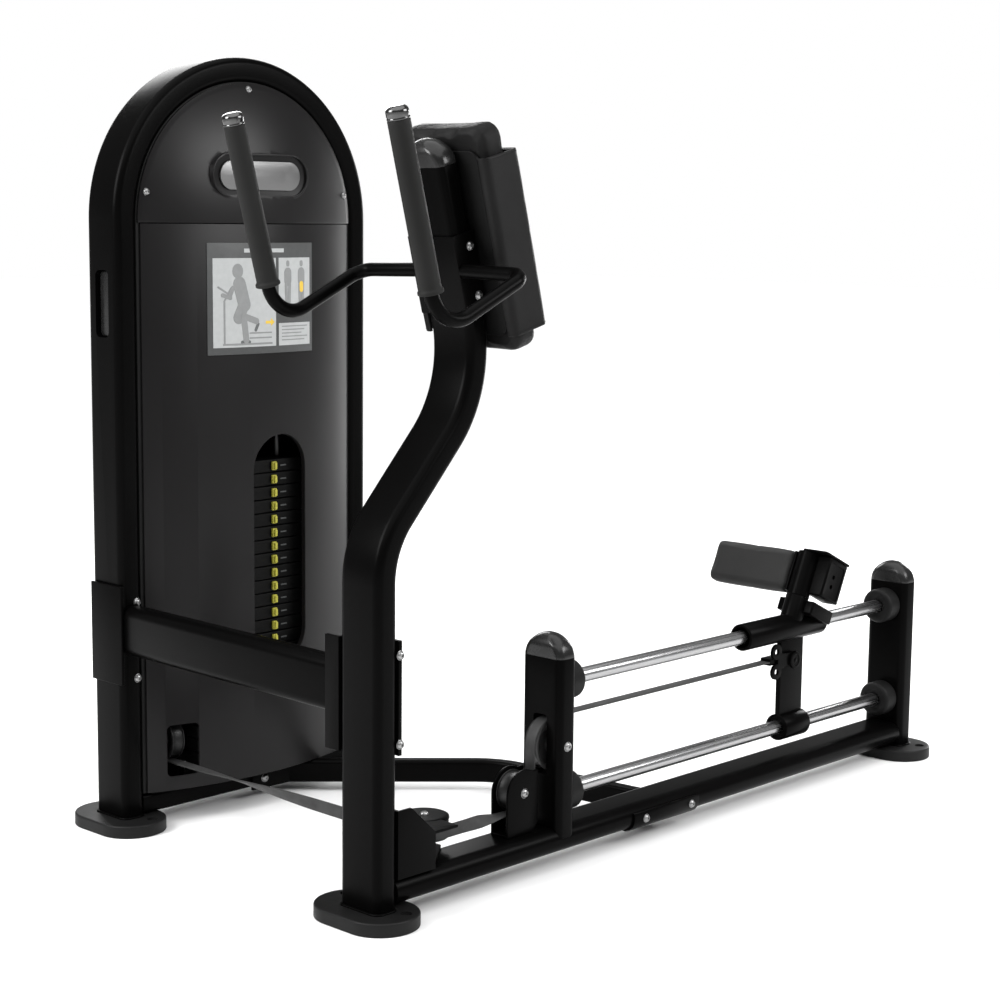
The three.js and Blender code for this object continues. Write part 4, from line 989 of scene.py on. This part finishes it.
def ink(name, material, *outlines, lift=0.6):
    shapes = merged(*[decal(outline, lift) for outline in outlines])
    piece(name, material, shapes)


def add_placard():
    """The instruction placard, with plain shapes in place of its pictures and writing."""
    xs, zs = (TOWER_X - 138, TOWER_X + 138), (PLACARD_Z - 112.5, PLACARD_Z + 112.5)
    sheet = curved_sheet(xs, zs, 1.5, lift=GAP + 1.5, columns=40, edge=0.3)
    piece("placard_sheet", PANEL_GREY, sheet, ("instruction_placard",))
    panels = merged(strip(-126, 30, -98, 82), strip(38, 130, -18, 82), strip(38, 130, -98, -52))
    piece("placard_panels", PANEL_WHITE, panels)
    machine = [
        bar_outline(-104, 20, -94, -90, 16),
        capsule((-100, -92), (-100, -4), 4),
        capsule((-100, -4), (-84, 22), 4),
        capsule((-114, 24), (-84, 6), 4),
        bar_outline(-40, 18, -71.5, -68.5),
        bar_outline(-40, 18, -81.5, -78.5),
    ]
    ink("placard_machine_drawing", INK_SOFT, *machine)
    user = [
        [(-68 + 13 * a, 56 + 15 * b) for a, b in circle(1, 16)],
        capsule((-64, 30), (-52, -12), 30),
        capsule((-56, -18), (-66, -38), 26),
        capsule((-54, -36), (-48, -84), 14),
        capsule((-52, -36), (-22, -46), 13),
        capsule((-80, 22), (-88, 4), 9),
        capsule((-86, 2), (-104, 8), 8),
    ]
    for i, outline in enumerate(user):
        piece(f"placard_user_{i + 1}", INK_SOFT, decal(outline, 0.66 + 0.06 * i))
    shoes = [capsule((-58, -88), (-40, -88), 7), capsule((-18, -52), (-24, -64), 7)]
    ink("placard_shoes", INK, *shoes)
    arrow = [(2, -46), (16, -46), (16, -41), (26, -49), (16, -57), (16, -52), (2, -52)]
    ink("placard_arrow", INK_YELLOW, list(reversed(arrow)))
    for i, x in enumerate((64, 104)):
        figure = [
            capsule((x, 68), (x, 72), 9),
            capsule((x, 52), (x, 34), 20),
            capsule((x - 5, 26), (x - 4, -8), 8),
            capsule((x + 5, 26), (x + 4, -8), 8),
        ]
        for k, outline in enumerate(figure):
            name = f"placard_figure_{i + 1}_{k + 1}"
            piece(name, INK_SOFT, decal(outline, 0.62 + 0.06 * k))
    ink("placard_highlight", INK_YELLOW, capsule((104, 28), (104, 16), 11), lift=1.0)
    piece("placard_title_bar", PANEL_WHITE, decal(bar_outline(-52, 52, 93, 101), 0.8))
    bars = [bar_outline(-18, 24 - 6 * (i % 2), 66 - 12 * i, 69 - 12 * i) for i in range(3)]
    bars += [bar_outline(46, 122 - 9 * (i % 3), -60 - 7 * i, -57.6 - 7 * i) for i in range(5)]
    ink("placard_note_bars", INK_SOFT, *bars)


# ---------------------------------------------------------------- weight stack


def plate_shape(z0, z1):
    """One flat plate with eased edges."""
    xs = (TOWER_X - STACK_HALF_X, TOWER_X + STACK_HALF_X)
    return block(xs, (STACK_Y - STACK_HALF_Y, STACK_Y + STACK_HALF_Y), (z0, z1), 2.0)


def drilled(shape):
    """The shape with bores for the two guide rods and for the stem between them."""
    made = new_object("drilled", shape)
    bores = []
    for x in (-GUIDE_OFFSET, 0, GUIDE_OFFSET):
        bores.append(rounded_rod("z", 11.4, 0, 1500, 0.1, x=TOWER_X + x, y=STACK_Y, sides=40))
    carve(made, bores)
    back = TO_ROW.inverted()
    points = [back @ vertex.co for vertex in made.data.vertices]
    faces = [tuple(face.vertices) for face in made.data.polygons]
    bpy.data.objects.remove(made)
    return points, faces


def add_stack():
    plate = drilled(plate_shape(STACK_LOW, STACK_LOW + PLATE_THICK))
    plates = [shifted(plate, z=level * PLATE_PITCH) for level in range(PLATES)]
    core = block((TOWER_X - 142, TOWER_X + 142), (STACK_Y - 47, STACK_Y + 47), (108, 704), 0.5)
    stack = merged(*plates, drilled(core))
    piece("weight_plates", IRON, stack, ("weight_stack",))
    face = STACK_Y - STACK_HALF_Y - GAP
    levers, marks = [], []
    for plate in range(PLATES):
        low = STACK_LOW + plate * PLATE_PITCH
        marks.append(block((408, 424), (face - 0.9, face), (low + 11, low + 14), 0.2))
        z = low + PLATE_THICK / 2
        shape = merged(
            block((LEVER_X - 6, LEVER_X + 6), (face - 7, face), (z - 9, z + 9), 1.6),
            block((LEVER_X - 3.6, LEVER_X + 3.6), (face - 12, face - 6), (z - 7.5, z + 7.5), 2.2),
        )
        if plate < PLATES - 2:
            levers.append(shape)
            continue
        node = f"lock_lever_{PLATES - plate}"
        body = f"lock_lever_body_{PLATES - plate}"
        piece(f"{node}_tab", YELLOW, shape, (node,), body=body)
    piece("lock_lever_tabs", YELLOW, merged(*levers), ("lock_lever_strip",))
    piece("plate_marks", PANEL_GREY, merged(*marks))


def add_head():
    z = HEAD_LOW
    plate = new_object("head", plate_shape(z, z + 30))
    for side in (-1, 1):
        x = TOWER_X + side * GUIDE_OFFSET
        carve(plate, [rounded_rod("z", 11.2, z - 5, z + 35, 0.1, x=x, y=STACK_Y)])
    piece("head_weight", IRON, plate, ("head_plate",), 40, body=HEAD)
    stem = rounded_rod("z", 10, z - 560, z + 2, 2, x=TOWER_X, y=STACK_Y, sides=40)
    piece("head_stem", GUIDE_STEEL, stem, body=HEAD)
    for name, side in NEAR_FAR:
        ys = sorted((STACK_Y + side * 17.5, STACK_Y + side * 23.5))
        shape = block((TOWER_X - 22, TOWER_X + 22), ys, (z + 28, z + 112), 1.5)
        piece(f"head_{name}_cheek", PAINT, shape, body=HEAD)
        bolt(f"head_{name}_bolt", "y", side, TOWER_X, STACK_Y + side * 23.5, z + 92, 8, HEAD)


# ---------------------------------------------------------------- pulleys, housings and belts


def pulley_shape(axis, r):
    """A flanged flat-belt wheel with a thinner web between hub and rim."""
    outer, seat = r + 3, r - 1
    one = [(8.6, -15), (9.2, -15.5), (17, -15.5), (18, -14.5), (19, -7), (seat - 9, -6)]
    one += [(seat - 6, -8), (seat - 5, -14.8), (seat - 4, -15.5), (outer - 1.2, -15.5)]
    one += [(outer, -14.6), (outer, -13.6), (outer - 0.6, -13), (seat + 0.4, -12.8)]
    one += [(seat, -12.2), (seat + 0.35, 0)]
    profile = one + [(a, -b) for a, b in reversed(one[:-1])]
    return lathe(profile, axis, sides=72, closed=True)


def add_pulleys():
    places = {
        "upper": ("y", UPPER_R, UPPER_AT),
        "lower": ("y", LOWER_R, LOWER_AT),
        "post": ("z", POST_R, POST_AT),
        "tower": ("x", TOWER_R, TOWER_AT),
        "top": ("y", TOP_R, TOP_AT),
        "head": ("y", HEAD_R, HEAD_AT),
    }
    for name, (axis, r, at) in places.items():
        shape = shifted(pulley_shape(axis, r), *at)
        node = f"{name}_pulley"
        piece(f"{node}_wheel", WHEEL, shape, (node,), 40, body=f"{node}_body")


def add_lower_housing():
    x, _, z = LOWER_AT
    left, right, low = x - 46, x + 38.4, BEAM_TOP
    outline = [(left, low), (right - 14, low), (right, low + 18), (right, z + 40)]
    for i in range(17):
        angle = math.radians(60 + 120 * i / 16)
        outline.append((x + 46 * math.cos(angle), z + 46 * math.sin(angle)))
    for name, side in NEAR_FAR:
        ends = sorted((side * 17, side * 22))
        cheek = prism("y", outline, *ends, 1.2)
        replaced = ("lower_pulley_housing",) if side < 0 else ()
        piece(f"lower_pulley_{name}_cheek", PAINT, cheek, replaced)
        bolt(f"lower_pulley_{name}_bolt", "y", side, x, side * 22, z)
    floor = block((left, right - 14), (-17.2, 17.2), (low, low + 6), 0.6)
    piece("lower_pulley_floor", PAINT, floor)
    axle("lower_pulley_axle", "y", LOWER_AT, 17.5, 0.4)


def add_post_guard():
    x, y, _ = POST_AT
    low, high, face = BEAM_TOP, BELT_Z + 20.5, TUBE_DEEP / 2 + GAP
    outline = [(face, low), (118, low), (118, high + 6), (58, 205), (face, 205)]
    plates = [prism("y", outline, -50, -45, 0.01)]
    plates.append(block((face, face + 6), (-46, 24), (low, 205), 0.01))
    base = [(face, -46), (118, -46), (x + 30, 30), (x + 30, 70), (face, 70)]
    plates.append(prism("z", base, low, low + 6, 0.01))
    painted("post_pulley_guard_plate", joined(plates, 1.2), "post_pulley_guard")
    lid = [(0.01, high + 7), (38, high + 7), (43, high + 6.6), (46, high + 5.4), (47, high + 3)]
    lid += [(47, high + 0.6), (46.4, high), (0.01, high)]
    cover = shifted(lathe(lid, "z"), x, y, -1)
    piece("post_pulley_lid", PAINT, cover, angle=40)
    bridge = block((face + 2, x), (-45, 40), (high, high + 5), 0.8)
    piece("post_pulley_bridge", PAINT, bridge)
    pin = rounded_rod("z", 8, low + 2, high + 2, 0.4, x=x, y=y, sides=40)
    piece("post_pulley_axle", BOLT, pin)
    bolt("post_pulley_bolt", "z", 1, x, y, high + 6, 8)


def add_top_frame():
    """The bar across the arch and the top pulley's carrier stay as the CAD drew them."""
    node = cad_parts["tower_top_frame"]
    node.data.materials.clear()
    node.data.materials.append(PAINT)


def belt_route():
    """The drive belt's middle line from the far side of the front upright, round five pulleys to
    the head pulley's loop, with the direction of its width at each point."""
    points, sides = [], []

    def add(at, side):
        points.append(Vector(at))
        sides.append(side.copy())

    def arc(start, stop, steps, centre, radius, first, second, side):
        """Round a pulley, by angles from its first direction towards its second."""
        for i in range(steps + 1):
            angle = math.radians(start + (stop - start) * i / steps)
            spoke = first * math.cos(angle) + second * math.sin(angle)
            add(Vector(centre) + spoke * (radius + BELT_HALF), side)

    def twist(start, stop, from_side, to_side, steps):
        """A straight run on which the belt turns by a quarter."""
        for i in range(1, steps):
            share = i / steps
            angle = math.pi / 2 * share * share * (3 - 2 * share)
            at = Vector(start).lerp(Vector(stop), share)
            add(at, from_side * math.cos(angle) + to_side * math.sin(angle))

    add((FRONT_X + 29, 0, TRAVEL_Z), Y)
    arc(90, 180, 24, UPPER_AT, UPPER_R, X, Z, Y)
    arc(0, -90, 24, LOWER_AT, LOWER_R, X, Z, Y)
    twist((345, 0, BELT_Z), (235, 0, BELT_Z), Y, Z, 24)
    arc(-90, -180, 24, POST_AT, POST_R, X, Y, Z)
    twist((BELT_X, 230, BELT_Z), (BELT_X, 690, BELT_Z), Z, -X, 40)
    arc(-90, 0, 20, TOWER_AT, TOWER_R, Y, Z, -X)
    tower_back = TOWER_AT[1] + TOWER_R + BELT_HALF
    twist((BELT_X, tower_back, 260), (BELT_X, STACK_Y, 1220), -X, Y, 24)
    arc(180, 0, 40, TOP_AT, TOP_R, X, Z, Y)
    add((HEAD_AT[0] - HEAD_R - BELT_HALF, STACK_Y, 1262), Y)
    return points, sides


def head_loop(steps=30):
    """The head belt's middle line: down, round under the head pulley and up to the top bar."""
    radius = HEAD_R + BELT_HALF
    x, y, z = HEAD_AT
    turn = []
    for i in range(41):
        angle = math.pi * (1 + i / 40)
        turn.append(Vector((x + radius * math.cos(angle), y, z + radius * math.sin(angle))))
    top, last = Vector((x - radius, y, 1261.7)), Vector((x + radius, y, 1263.7))
    down = [top.lerp(turn[0], i / steps) for i in range(steps)]
    up = [turn[-1].lerp(last, i / steps) for i in range(1, steps + 1)]
    return down + turn + up


def add_belts():
    flat = rounded_rect(25, 2 * BELT_HALF, 1.0, 3)
    points, sides = belt_route()
    belt = sweep(flat, points, sides, 0.4)
    piece("drive_belt_band", BELT, belt, ("drive_belt",), 40)
    near, far = FRONT_X + 29 + GAP, JAW_X[0] - GAP
    line = [Vector((near + (far - near) * i / 60, 0, TRAVEL_Z)) for i in range(61)]
    travel = new_object("travel", sweep(flat, line, Y, 0.4))
    stretched(travel, "travel_belt_band", "travel_belt")
    head = new_object("head", sweep(flat, head_loop(), Y, 0.4))
    stretched(head, "head_belt_band", "head_belt")


def stretched(made, name, node):
    """A belt run that the frame holds at one end and a moving body at the other."""
    made.name = name
    made.data.materials.append(BELT)
    smooth(made, 40)
    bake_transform(made)
    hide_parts(node)


# ---------------------------------------------------------------- chest pad and handles

CHEST = Matrix.Translation((196, 0, 1201)) @ Matrix.Rotation(-LEAN, 4, "Y")
BOARD_BACK = 7.1
PAD_BACK = 14.4
PAD_FRONT = 73


def inflate(made, cap, pressure=4.0, voxel=0.005):
    """Swells a closed shape as a cushion under its cover. No point moves further than cap. Sizes
    are in metres."""
    change = made.modifiers.new("remesh", "REMESH")
    change.mode = "VOXEL"
    change.voxel_size = voxel
    baked(made)
    start = [v.co.copy() for v in made.data.vertices]
    cloth = made.modifiers.new("cloth", "CLOTH")
    cloth.settings.use_pressure = True
    cloth.settings.uniform_pressure_force = pressure
    cloth.settings.effector_weights.gravity = 0
    cloth.settings.quality = 5
    scene = bpy.context.scene
    for step in range(1, 21):
        scene.frame_set(step)
    bpy.context.view_layer.update()
    graph = bpy.context.evaluated_depsgraph_get()
    swollen = bpy.data.meshes.new_from_object(made.evaluated_get(graph))
    made.modifiers.clear()
    for vertex, before, after in zip(made.data.vertices, start, swollen.vertices):
        move = after.co - before
        if move.length > cap:
            move *= cap / move.length
        vertex.co = before + move
    scene.frame_set(1)


def subdivided(made, levels=1):
    change = made.modifiers.new("subdivision", "SUBSURF")
    change.levels = change.render_levels = levels
    baked(made)


def cushion_shape():
    """The pad before it swells: thicker in the middle, drawn in at its edges."""
    rings = []
    depth = PAD_FRONT - PAD_BACK
    for i in range(17):
        share = i / 16
        x = PAD_BACK + 2 + (depth - 5) * share
        round_off = 15 * (1 - math.sqrt(max(0.0, 1 - (abs(2 * share - 1)) ** 6)))
        outline = rounded_rect(213 - 2 * round_off, 412 - 2 * round_off, 28 - 0.6 * round_off, 10)
        rings.append([(x, a, b - 9) for a, b in outline])
    return loft(rings)


def add_chest_pad():
    board = prism("x", rounded_rect(180, 330, 20), BOARD_BACK, 14.1, 1.0, z=-12)
    piece("pad_board", IRON, moved(board, CHEST), ("pad_back_board",))
    cushion = new_object("cushion", moved(cushion_shape(), CHEST))
    inflate(cushion, 0.005)
    subdivided(cushion)
    hold_in(cushion, CHEST, (PAD_BACK, 72.8), (-109.5, 109.5), (-218.5, 200.5))
    piece("chest_cushion_cover", VINYL, cushion, ("chest_cushion",), 60)
    add_pad_sleeve()
    add_seams()


def hold_in(made, place, xs, ys, zs):
    """Keeps every point inside the pad's own space."""
    there = TO_ROW @ place
    back = there.inverted()
    for vertex in made.data.vertices:
        at = back @ vertex.co
        at.x = min(max(at.x, xs[0]), xs[1])
        at.y = min(max(at.y, ys[0]), ys[1])
        at.z = min(max(at.z, zs[0]), zs[1])
        vertex.co = there @ at


def add_pad_sleeve():
    """The wrap round the middle of the cushion: an open sleeve with thick soft edges."""
    outline = pad_sleeve_outline()
    rings = []
    for i in range(61):
        z = -176.6 + 317.2 * i / 60
        share = (z + 18) / 159
        ripple = 0.25 * math.sin(z * 0.09) * (1 - share**4)
        swell = min(0.0, ripple) - 0.9 * abs(share) ** 6
        rings.append([(a + swell * na, b + swell * nb, z) for a, b, na, nb in outline])
    made = new_object("sleeve", moved(loft(rings), CHEST))
    chamfer(made, 1.4, 3, 60)
    piece("pad_sleeve_wrap", VINYL, made, ("pad_sleeve",), 50)


def pad_sleeve_outline():
    """Plan of the C-shaped wrap: x, y and the outward direction of each point."""
    outer = []
    for i in range(13):
        angle = math.radians(90 * i / 12)
        outer.append((74 + 15 * math.cos(angle), 102 + 15 * math.sin(angle)))
    for i in range(1, 12):
        outer.append((74 - 59 * i / 12, 117))
    for i in range(13):
        angle = math.radians(90 + 90 * i / 12)
        outer.append((15 + 15 * math.cos(angle), 102 + 15 * math.sin(angle)))
    outer.append((0.2, 96))
    inner = [(6.6, 96), (6.6, 110.9), (73.9, 110.9), (73.9, 0)]
    half = outer + inner[:3]
    mirror = [(a, -b) for a, b in reversed(half)]
    loop = half + mirror
    count = len(loop)
    result = []
    for i, (a, b) in enumerate(loop):
        is_outer = a > 74 or abs(b) > 111 or a < 6
        if not is_outer:
            result.append((a, b, 0.0, 0.0))
            continue
        before, after = Vector(loop[i - 1]), Vector(loop[(i + 1) % count])
        along = (after - before).normalized()
        result.append((a, b, along.y, -along.x))
    return result


def add_seams():
    """Piping where the sleeve's ends are hemmed."""
    for name, z in (("low", -172), ("high", 136)):
        outline = pad_sleeve_outline()
        path = []
        for a, b, na, nb in outline:
            if a > 74 or (abs(b) > 111.5 and a > 2):
                path.append(Vector((a - 0.2 * na, b - 0.2 * nb, z)))
        ordered = sorted(path, key=lambda p: math.atan2(p.y, p.x - 30))
        thread = stitch_run(ordered)
        piece(f"sleeve_{name}_stitches", VINYL, moved(thread, CHEST), angle=60)


def stitch_run(path, pitch=6.0, long=4.2, radius=0.45):
    """Short raised stitches along a path."""
    lengths = [0.0]
    for a, b in zip(path, path[1:]):
        lengths.append(lengths[-1] + (b - a).length)

    def at(distance):
        for i in range(1, len(path)):
            if distance <= lengths[i]:
                span = lengths[i] - lengths[i - 1]
                share = (distance - lengths[i - 1]) / span if span else 0
                return path[i - 1].lerp(path[i], share)
        return path[-1]

    shapes = []
    distance = 3.0
    while distance + long < lengths[-1]:
        a, b = at(distance), at(distance + long)
        shapes.append(sweep(circle(radius, 8), [a, a.lerp(b, 0.5), b], Z, 0.3))
        distance += pitch
    return merged(*shapes)


def add_handle_bracket():
    back = 6.8 - TUBE_DEEP
    inner = TUBE_WIDE / 2 + GAP
    zs = (-124, 16)
    plates = [block((back - 6.3, back - 0.3), (-inner - 6, inner + 6), zs, 0.01)]
    for side in (-1, 1):
        ys = sorted((side * inner, side * (inner + 6)))
        plates.append(block((back - 6.3, 2), ys, zs, 0.01))
    bracket = joined(plates, 1.5)
    bracket.data.transform(TO_ROW @ CHEST @ TO_ROW.inverted())
    painted("handle_bracket_plate", bracket, "handle_bracket")
    for i, z in enumerate((-98, -9)):
        for name, side in (("right", -1), ("left", 1)):
            y = side * (inner + 6)
            bolt(f"handle_bracket_{name}_bolt_{i + 1}", "y", side, -12, y, z, 8, turn=CHEST)


def add_handle(name, side):
    lean = Vector((-math.sin(LEAN), 0, math.cos(LEAN)))
    grip = Vector((-52, side * 203, 1116))
    start = (172, side * 56.6, 1145)
    corners = [((170, side * 206, 1142), 32), (grip - lean * 72, 60)]
    path = filleted(start, corners, grip + lean * 288, 5)
    bar = sweep(circle(12.5, 40), path, Z, 0.5)
    painted(f"{name}_handlebar_tube", bar, f"{name}_handlebar", angle=50)
    sleeve = [(13.2, 0.6), (13.8, 0), (20.8, 0), (22, 1.2), (22, 4.8), (21.4, 6), (20, 7.6)]
    sleeve += [(19, 9.6)]
    sleeve += [(19 - 0.12 * (i % 2), 12 + i * 4.5) for i in range(60)]
    sleeve += [(19, 281.5), (18.4, 283), (14, 283), (13.2, 282)]
    cap = [(0.01, 283.4), (18.2, 283.4), (19, 284.2), (19, 286), (18.3, 286.8), (18.3, 288)]
    cap += [(19, 288.8), (19, 296.4), (18.5, 299), (17, 301.6), (14.5, 303.6), (11, 304.8)]
    cap += [(6, 305.2), (0.01, 305.3)]
    place = Matrix.Translation(grip) @ Matrix.Rotation(-LEAN, 4, "Y")
    rubber = moved(lathe(sleeve, "z", sides=64, closed=True), place)
    piece(f"{name}_grip_sleeve", RUBBER, rubber, (f"{name}_grip",), 40)
    end = moved(lathe(cap, "z", sides=64), place)
    piece(f"{name}_grip_end_cap", CHROME, end, angle=50)


# ---------------------------------------------------------------- carriage and foot pad

FOOT_PLACE = Matrix.Translation(PIVOT) @ Matrix.Rotation(PIVOT_TILT, 4, "Y")


def sleeve_tube(start, stop, z):
    """A linear-bearing housing with a recess round the bore in each end, the seat of a lip seal."""
    end = [(29, 1.5), (28.4, 0.4), (27.4, 0), (23, 0), (22.4, 2), (15.8, 2)]
    profile = [(r, start + h) for r, h in end] + [(r, stop - h) for r, h in reversed(end)]
    return lathe(profile, "x", 0, 0, z, 72, closed=True)


def add_carriage():
    upper = sleeve_tube(*UPPER_SLEEVE, UPPER_ROD_Z)
    piece("carriage_upper_sleeve", PAINT, upper, ("carriage",), 40, body=CARRIAGE)
    lower = sleeve_tube(*LOWER_SLEEVE, LOWER_ROD_Z)
    piece("carriage_lower_sleeve", PAINT, lower, angle=40, body=CARRIAGE)
    xs = (LOWER_SLEEVE[0] + 1, LOWER_SLEEVE[1] - 4)
    web = block(xs, (-6, 6), (LOWER_ROD_Z + 27, UPPER_ROD_Z - 27), 1.0)
    piece("carriage_web", PAINT, web, body=CARRIAGE)
    stub = new_object("stub", moved(rounded_rod("z", 25, -58, 0, 1.0), FOOT_PLACE))
    core = rounded_rod("x", 27, 1100, 1500, 0.1, z=UPPER_ROD_Z)
    carve(stub, [core])
    piece("carriage_pivot_stub", PAINT, stub, angle=40, body=CARRIAGE)
    pin = rounded_rod("z", 10, -3, 60, 1.0, sides=40)
    piece("carriage_pivot_pin", BOLT, moved(pin, FOOT_PLACE), body=CARRIAGE)
    stop = new_object("stop", moved(block((0, 84), (-46, 46), (-34, -5), 3), FOOT_PLACE))
    carve(stop, [core, moved(rounded_rod("z", 24, -60, 2, 0.1), FOOT_PLACE)])
    piece("carriage_stop", PAINT, stop, angle=40, body=CARRIAGE)
    for name, x in (("near", UPPER_SLEEVE[0] + 3), ("far", UPPER_SLEEVE[1] - 3)):
        seal = [(22.2, x - 1), (22.2, x + 1), (15.9, x + 1), (15.9, x - 1)]
        ring = lathe(seal, "x", 0, 0, UPPER_ROD_Z, 64, closed=True)
        piece(f"upper_sleeve_{name}_seal", BUFFER, ring, body=CARRIAGE)


def add_belt_clamp():
    body = new_object("clamp", rounded_rod("y", 17, -18, -12, 0.4, x=1186, z=312))
    tools = [
        rounded_rod("y", 17, -18, -12, 0.4, x=1186, z=268),
        rounded_rod("y", 17, -18, -12, 0.4, x=1206, z=290),
        block((1196, 1260), (-18, -12), (276, 304), 0.4),
    ]
    carve(body, tools, "UNION")
    holes = [rounded_rod("y", 7, -20, -10, 0.1, x=1186, z=z, sides=40) for z in (312, 268)]
    carve(body, holes)
    piece("belt_clamp_plate", PAINT, body, ("belt_clamp",), 40, body=CARRIAGE)
    jaw = block(JAW_X, (-12.4, 14), (TRAVEL_Z - 7.5, TRAVEL_Z + 7.5), 1.2)
    piece("belt_clamp_jaw", PAINT, jaw, body=CARRIAGE)
    spacer = block((1224, 1260), (-12.4, -6.3), (276, 302), 1.0)
    piece("belt_clamp_spacer", PAINT, spacer, body=CARRIAGE)
    knob = [(0.01, -17.6), (19, -17.6), (19, -22), (18.2, -23.4), (16, -24), (13, -24), (12, -22.6)]
    knob += [(6, -22.4), (5, -23.2), (0.01, -23.4)]
    disc = shifted(lathe(knob, "y"), 1248, 0, 286)
    piece("belt_clamp_disc", PAINT, disc, angle=40, body=CARRIAGE)


def foot_part(name, material, shape, replaces=(), angle=32.0):
    if isinstance(shape, bpy.types.Object):
        shape.data.transform(TO_ROW @ FOOT_PLACE @ TO_ROW.inverted())
    else:
        shape = moved(shape, FOOT_PLACE)
    piece(name, material, shape, replaces, angle, body=FOOT_PAD)


def add_foot_arm():
    hub = [(10.8, 0.8), (11.4, 0.5), (24.2, 0.5), (25, 1.3), (25, 99.8)]
    hub += [(24.6, 100.2), (10.8, 100.2), (10.8, 61)]
    tube = lathe(hub, "z", sides=72, closed=True)
    foot_part("foot_pad_hub", PAINT, tube, ("foot_pad_arm",), 40)
    lid = new_object("lid", prism("z", rounded_rect(102, 66, 8, 8), 100.3, 105, 1.0, x=27, y=-27))
    foot_part("foot_pad_lid", PAINT, lid, angle=40)
    flange = block((-19, 19), (20, 28), (8, 98), 2.0)
    foot_part("foot_pad_flange", PAINT, flange)
    latch = new_object("latch", block((0, 72), (-58, -18), (10, 100), 3.0))
    carve(latch, [rounded_rod("z", 25.3, 0, 120, 0.1)])
    window = prism("y", rounded_rect(58, 76, 6), -60, -56.4, 0.1, x=34, z=52)
    carve(latch, [window])
    holes = [rounded_rod("y", 5, -60, -48, 0.1, x=31, z=z, sides=40) for z in (40, 62)]
    carve(latch, holes)
    foot_part("foot_pad_latch", PAINT, latch, angle=40)


def foot_pad_shape():
    """The moulded foot pad: a long rounded block, fuller in the middle of its faces."""
    rings = []
    steps = 44
    length = (28.5, 240)
    for i in range(steps + 1):
        share = i / steps
        y = length[0] + (length[1] - length[0]) * share
        near_end = min(y - length[0], length[1] - y)
        pull = 0.0
        if near_end < 10:
            pull = 10 - math.sqrt(max(0.0, 100 - (10 - near_end) ** 2))
        crown = 0.9 * math.sin(math.pi * share)
        width, height = 42 - 2 * pull + crown, 94 - 2 * pull + crown
        outline = rounded_rect(width, height, min(13.0, width / 2 - 0.5), 8)
        rings.append([(a, y, b + 53) for a, b in reversed(outline)])
    return loft(rings)


def add_foot_pad():
    pad = new_object("pad", moved(foot_pad_shape(), FOOT_PLACE))
    inflate(pad, 0.0012, 2.0, 0.004)
    subdivided(pad)
    hold_in(pad, FOOT_PLACE, (-22, 22), (28.4, 240.2), (5, 101))
    piece("foot_pad_block", TREAD, pad, ("foot_pad",), 60, body=FOOT_PAD)


# ---------------------------------------------------------------- everything

add_camera()
add_world()
add_post()
add_beam()
add_brace()
add_uprights()
add_rods()
add_crossbar()
add_tower_frame()
add_tower_base()
add_shrouds()
add_upper_panel()
add_placard()
add_stack()
add_head()
add_pulleys()
add_lower_housing()
add_post_guard()
add_top_frame()
add_belts()
add_chest_pad()
add_handle_bracket()
add_handle("left", 1)
add_handle("right", -1)
add_carriage()
add_belt_clamp()
add_foot_arm()
add_foot_pad()

bpy.ops.mesh.primitive_plane_add(size=60, location=(0, 0, -0.0005))
floor = bpy.context.object
floor.name = "floor"
floor.data.materials.append(floor_material())

add_overhead()
add_light("front_softbox", (1.5, -3.4, 2.7), (-0.45, 0.4, 1.3), (2.4, 1.3), 110)
add_light("right_softbox", (4.4, 0.5, 1.1), (-0.4, 0.4, 0.9), (0.9, 2.2), 70)
add_light("left_softbox", (-3.6, 1.0, 2.6), (-0.4, 0.2, 0.9), (1.6, 1.6), 130)
add_light("rim_softbox", (1.5, 3.6, 2.9), (-0.4, 0.3, 1.0), (2.4, 2.0), 100)
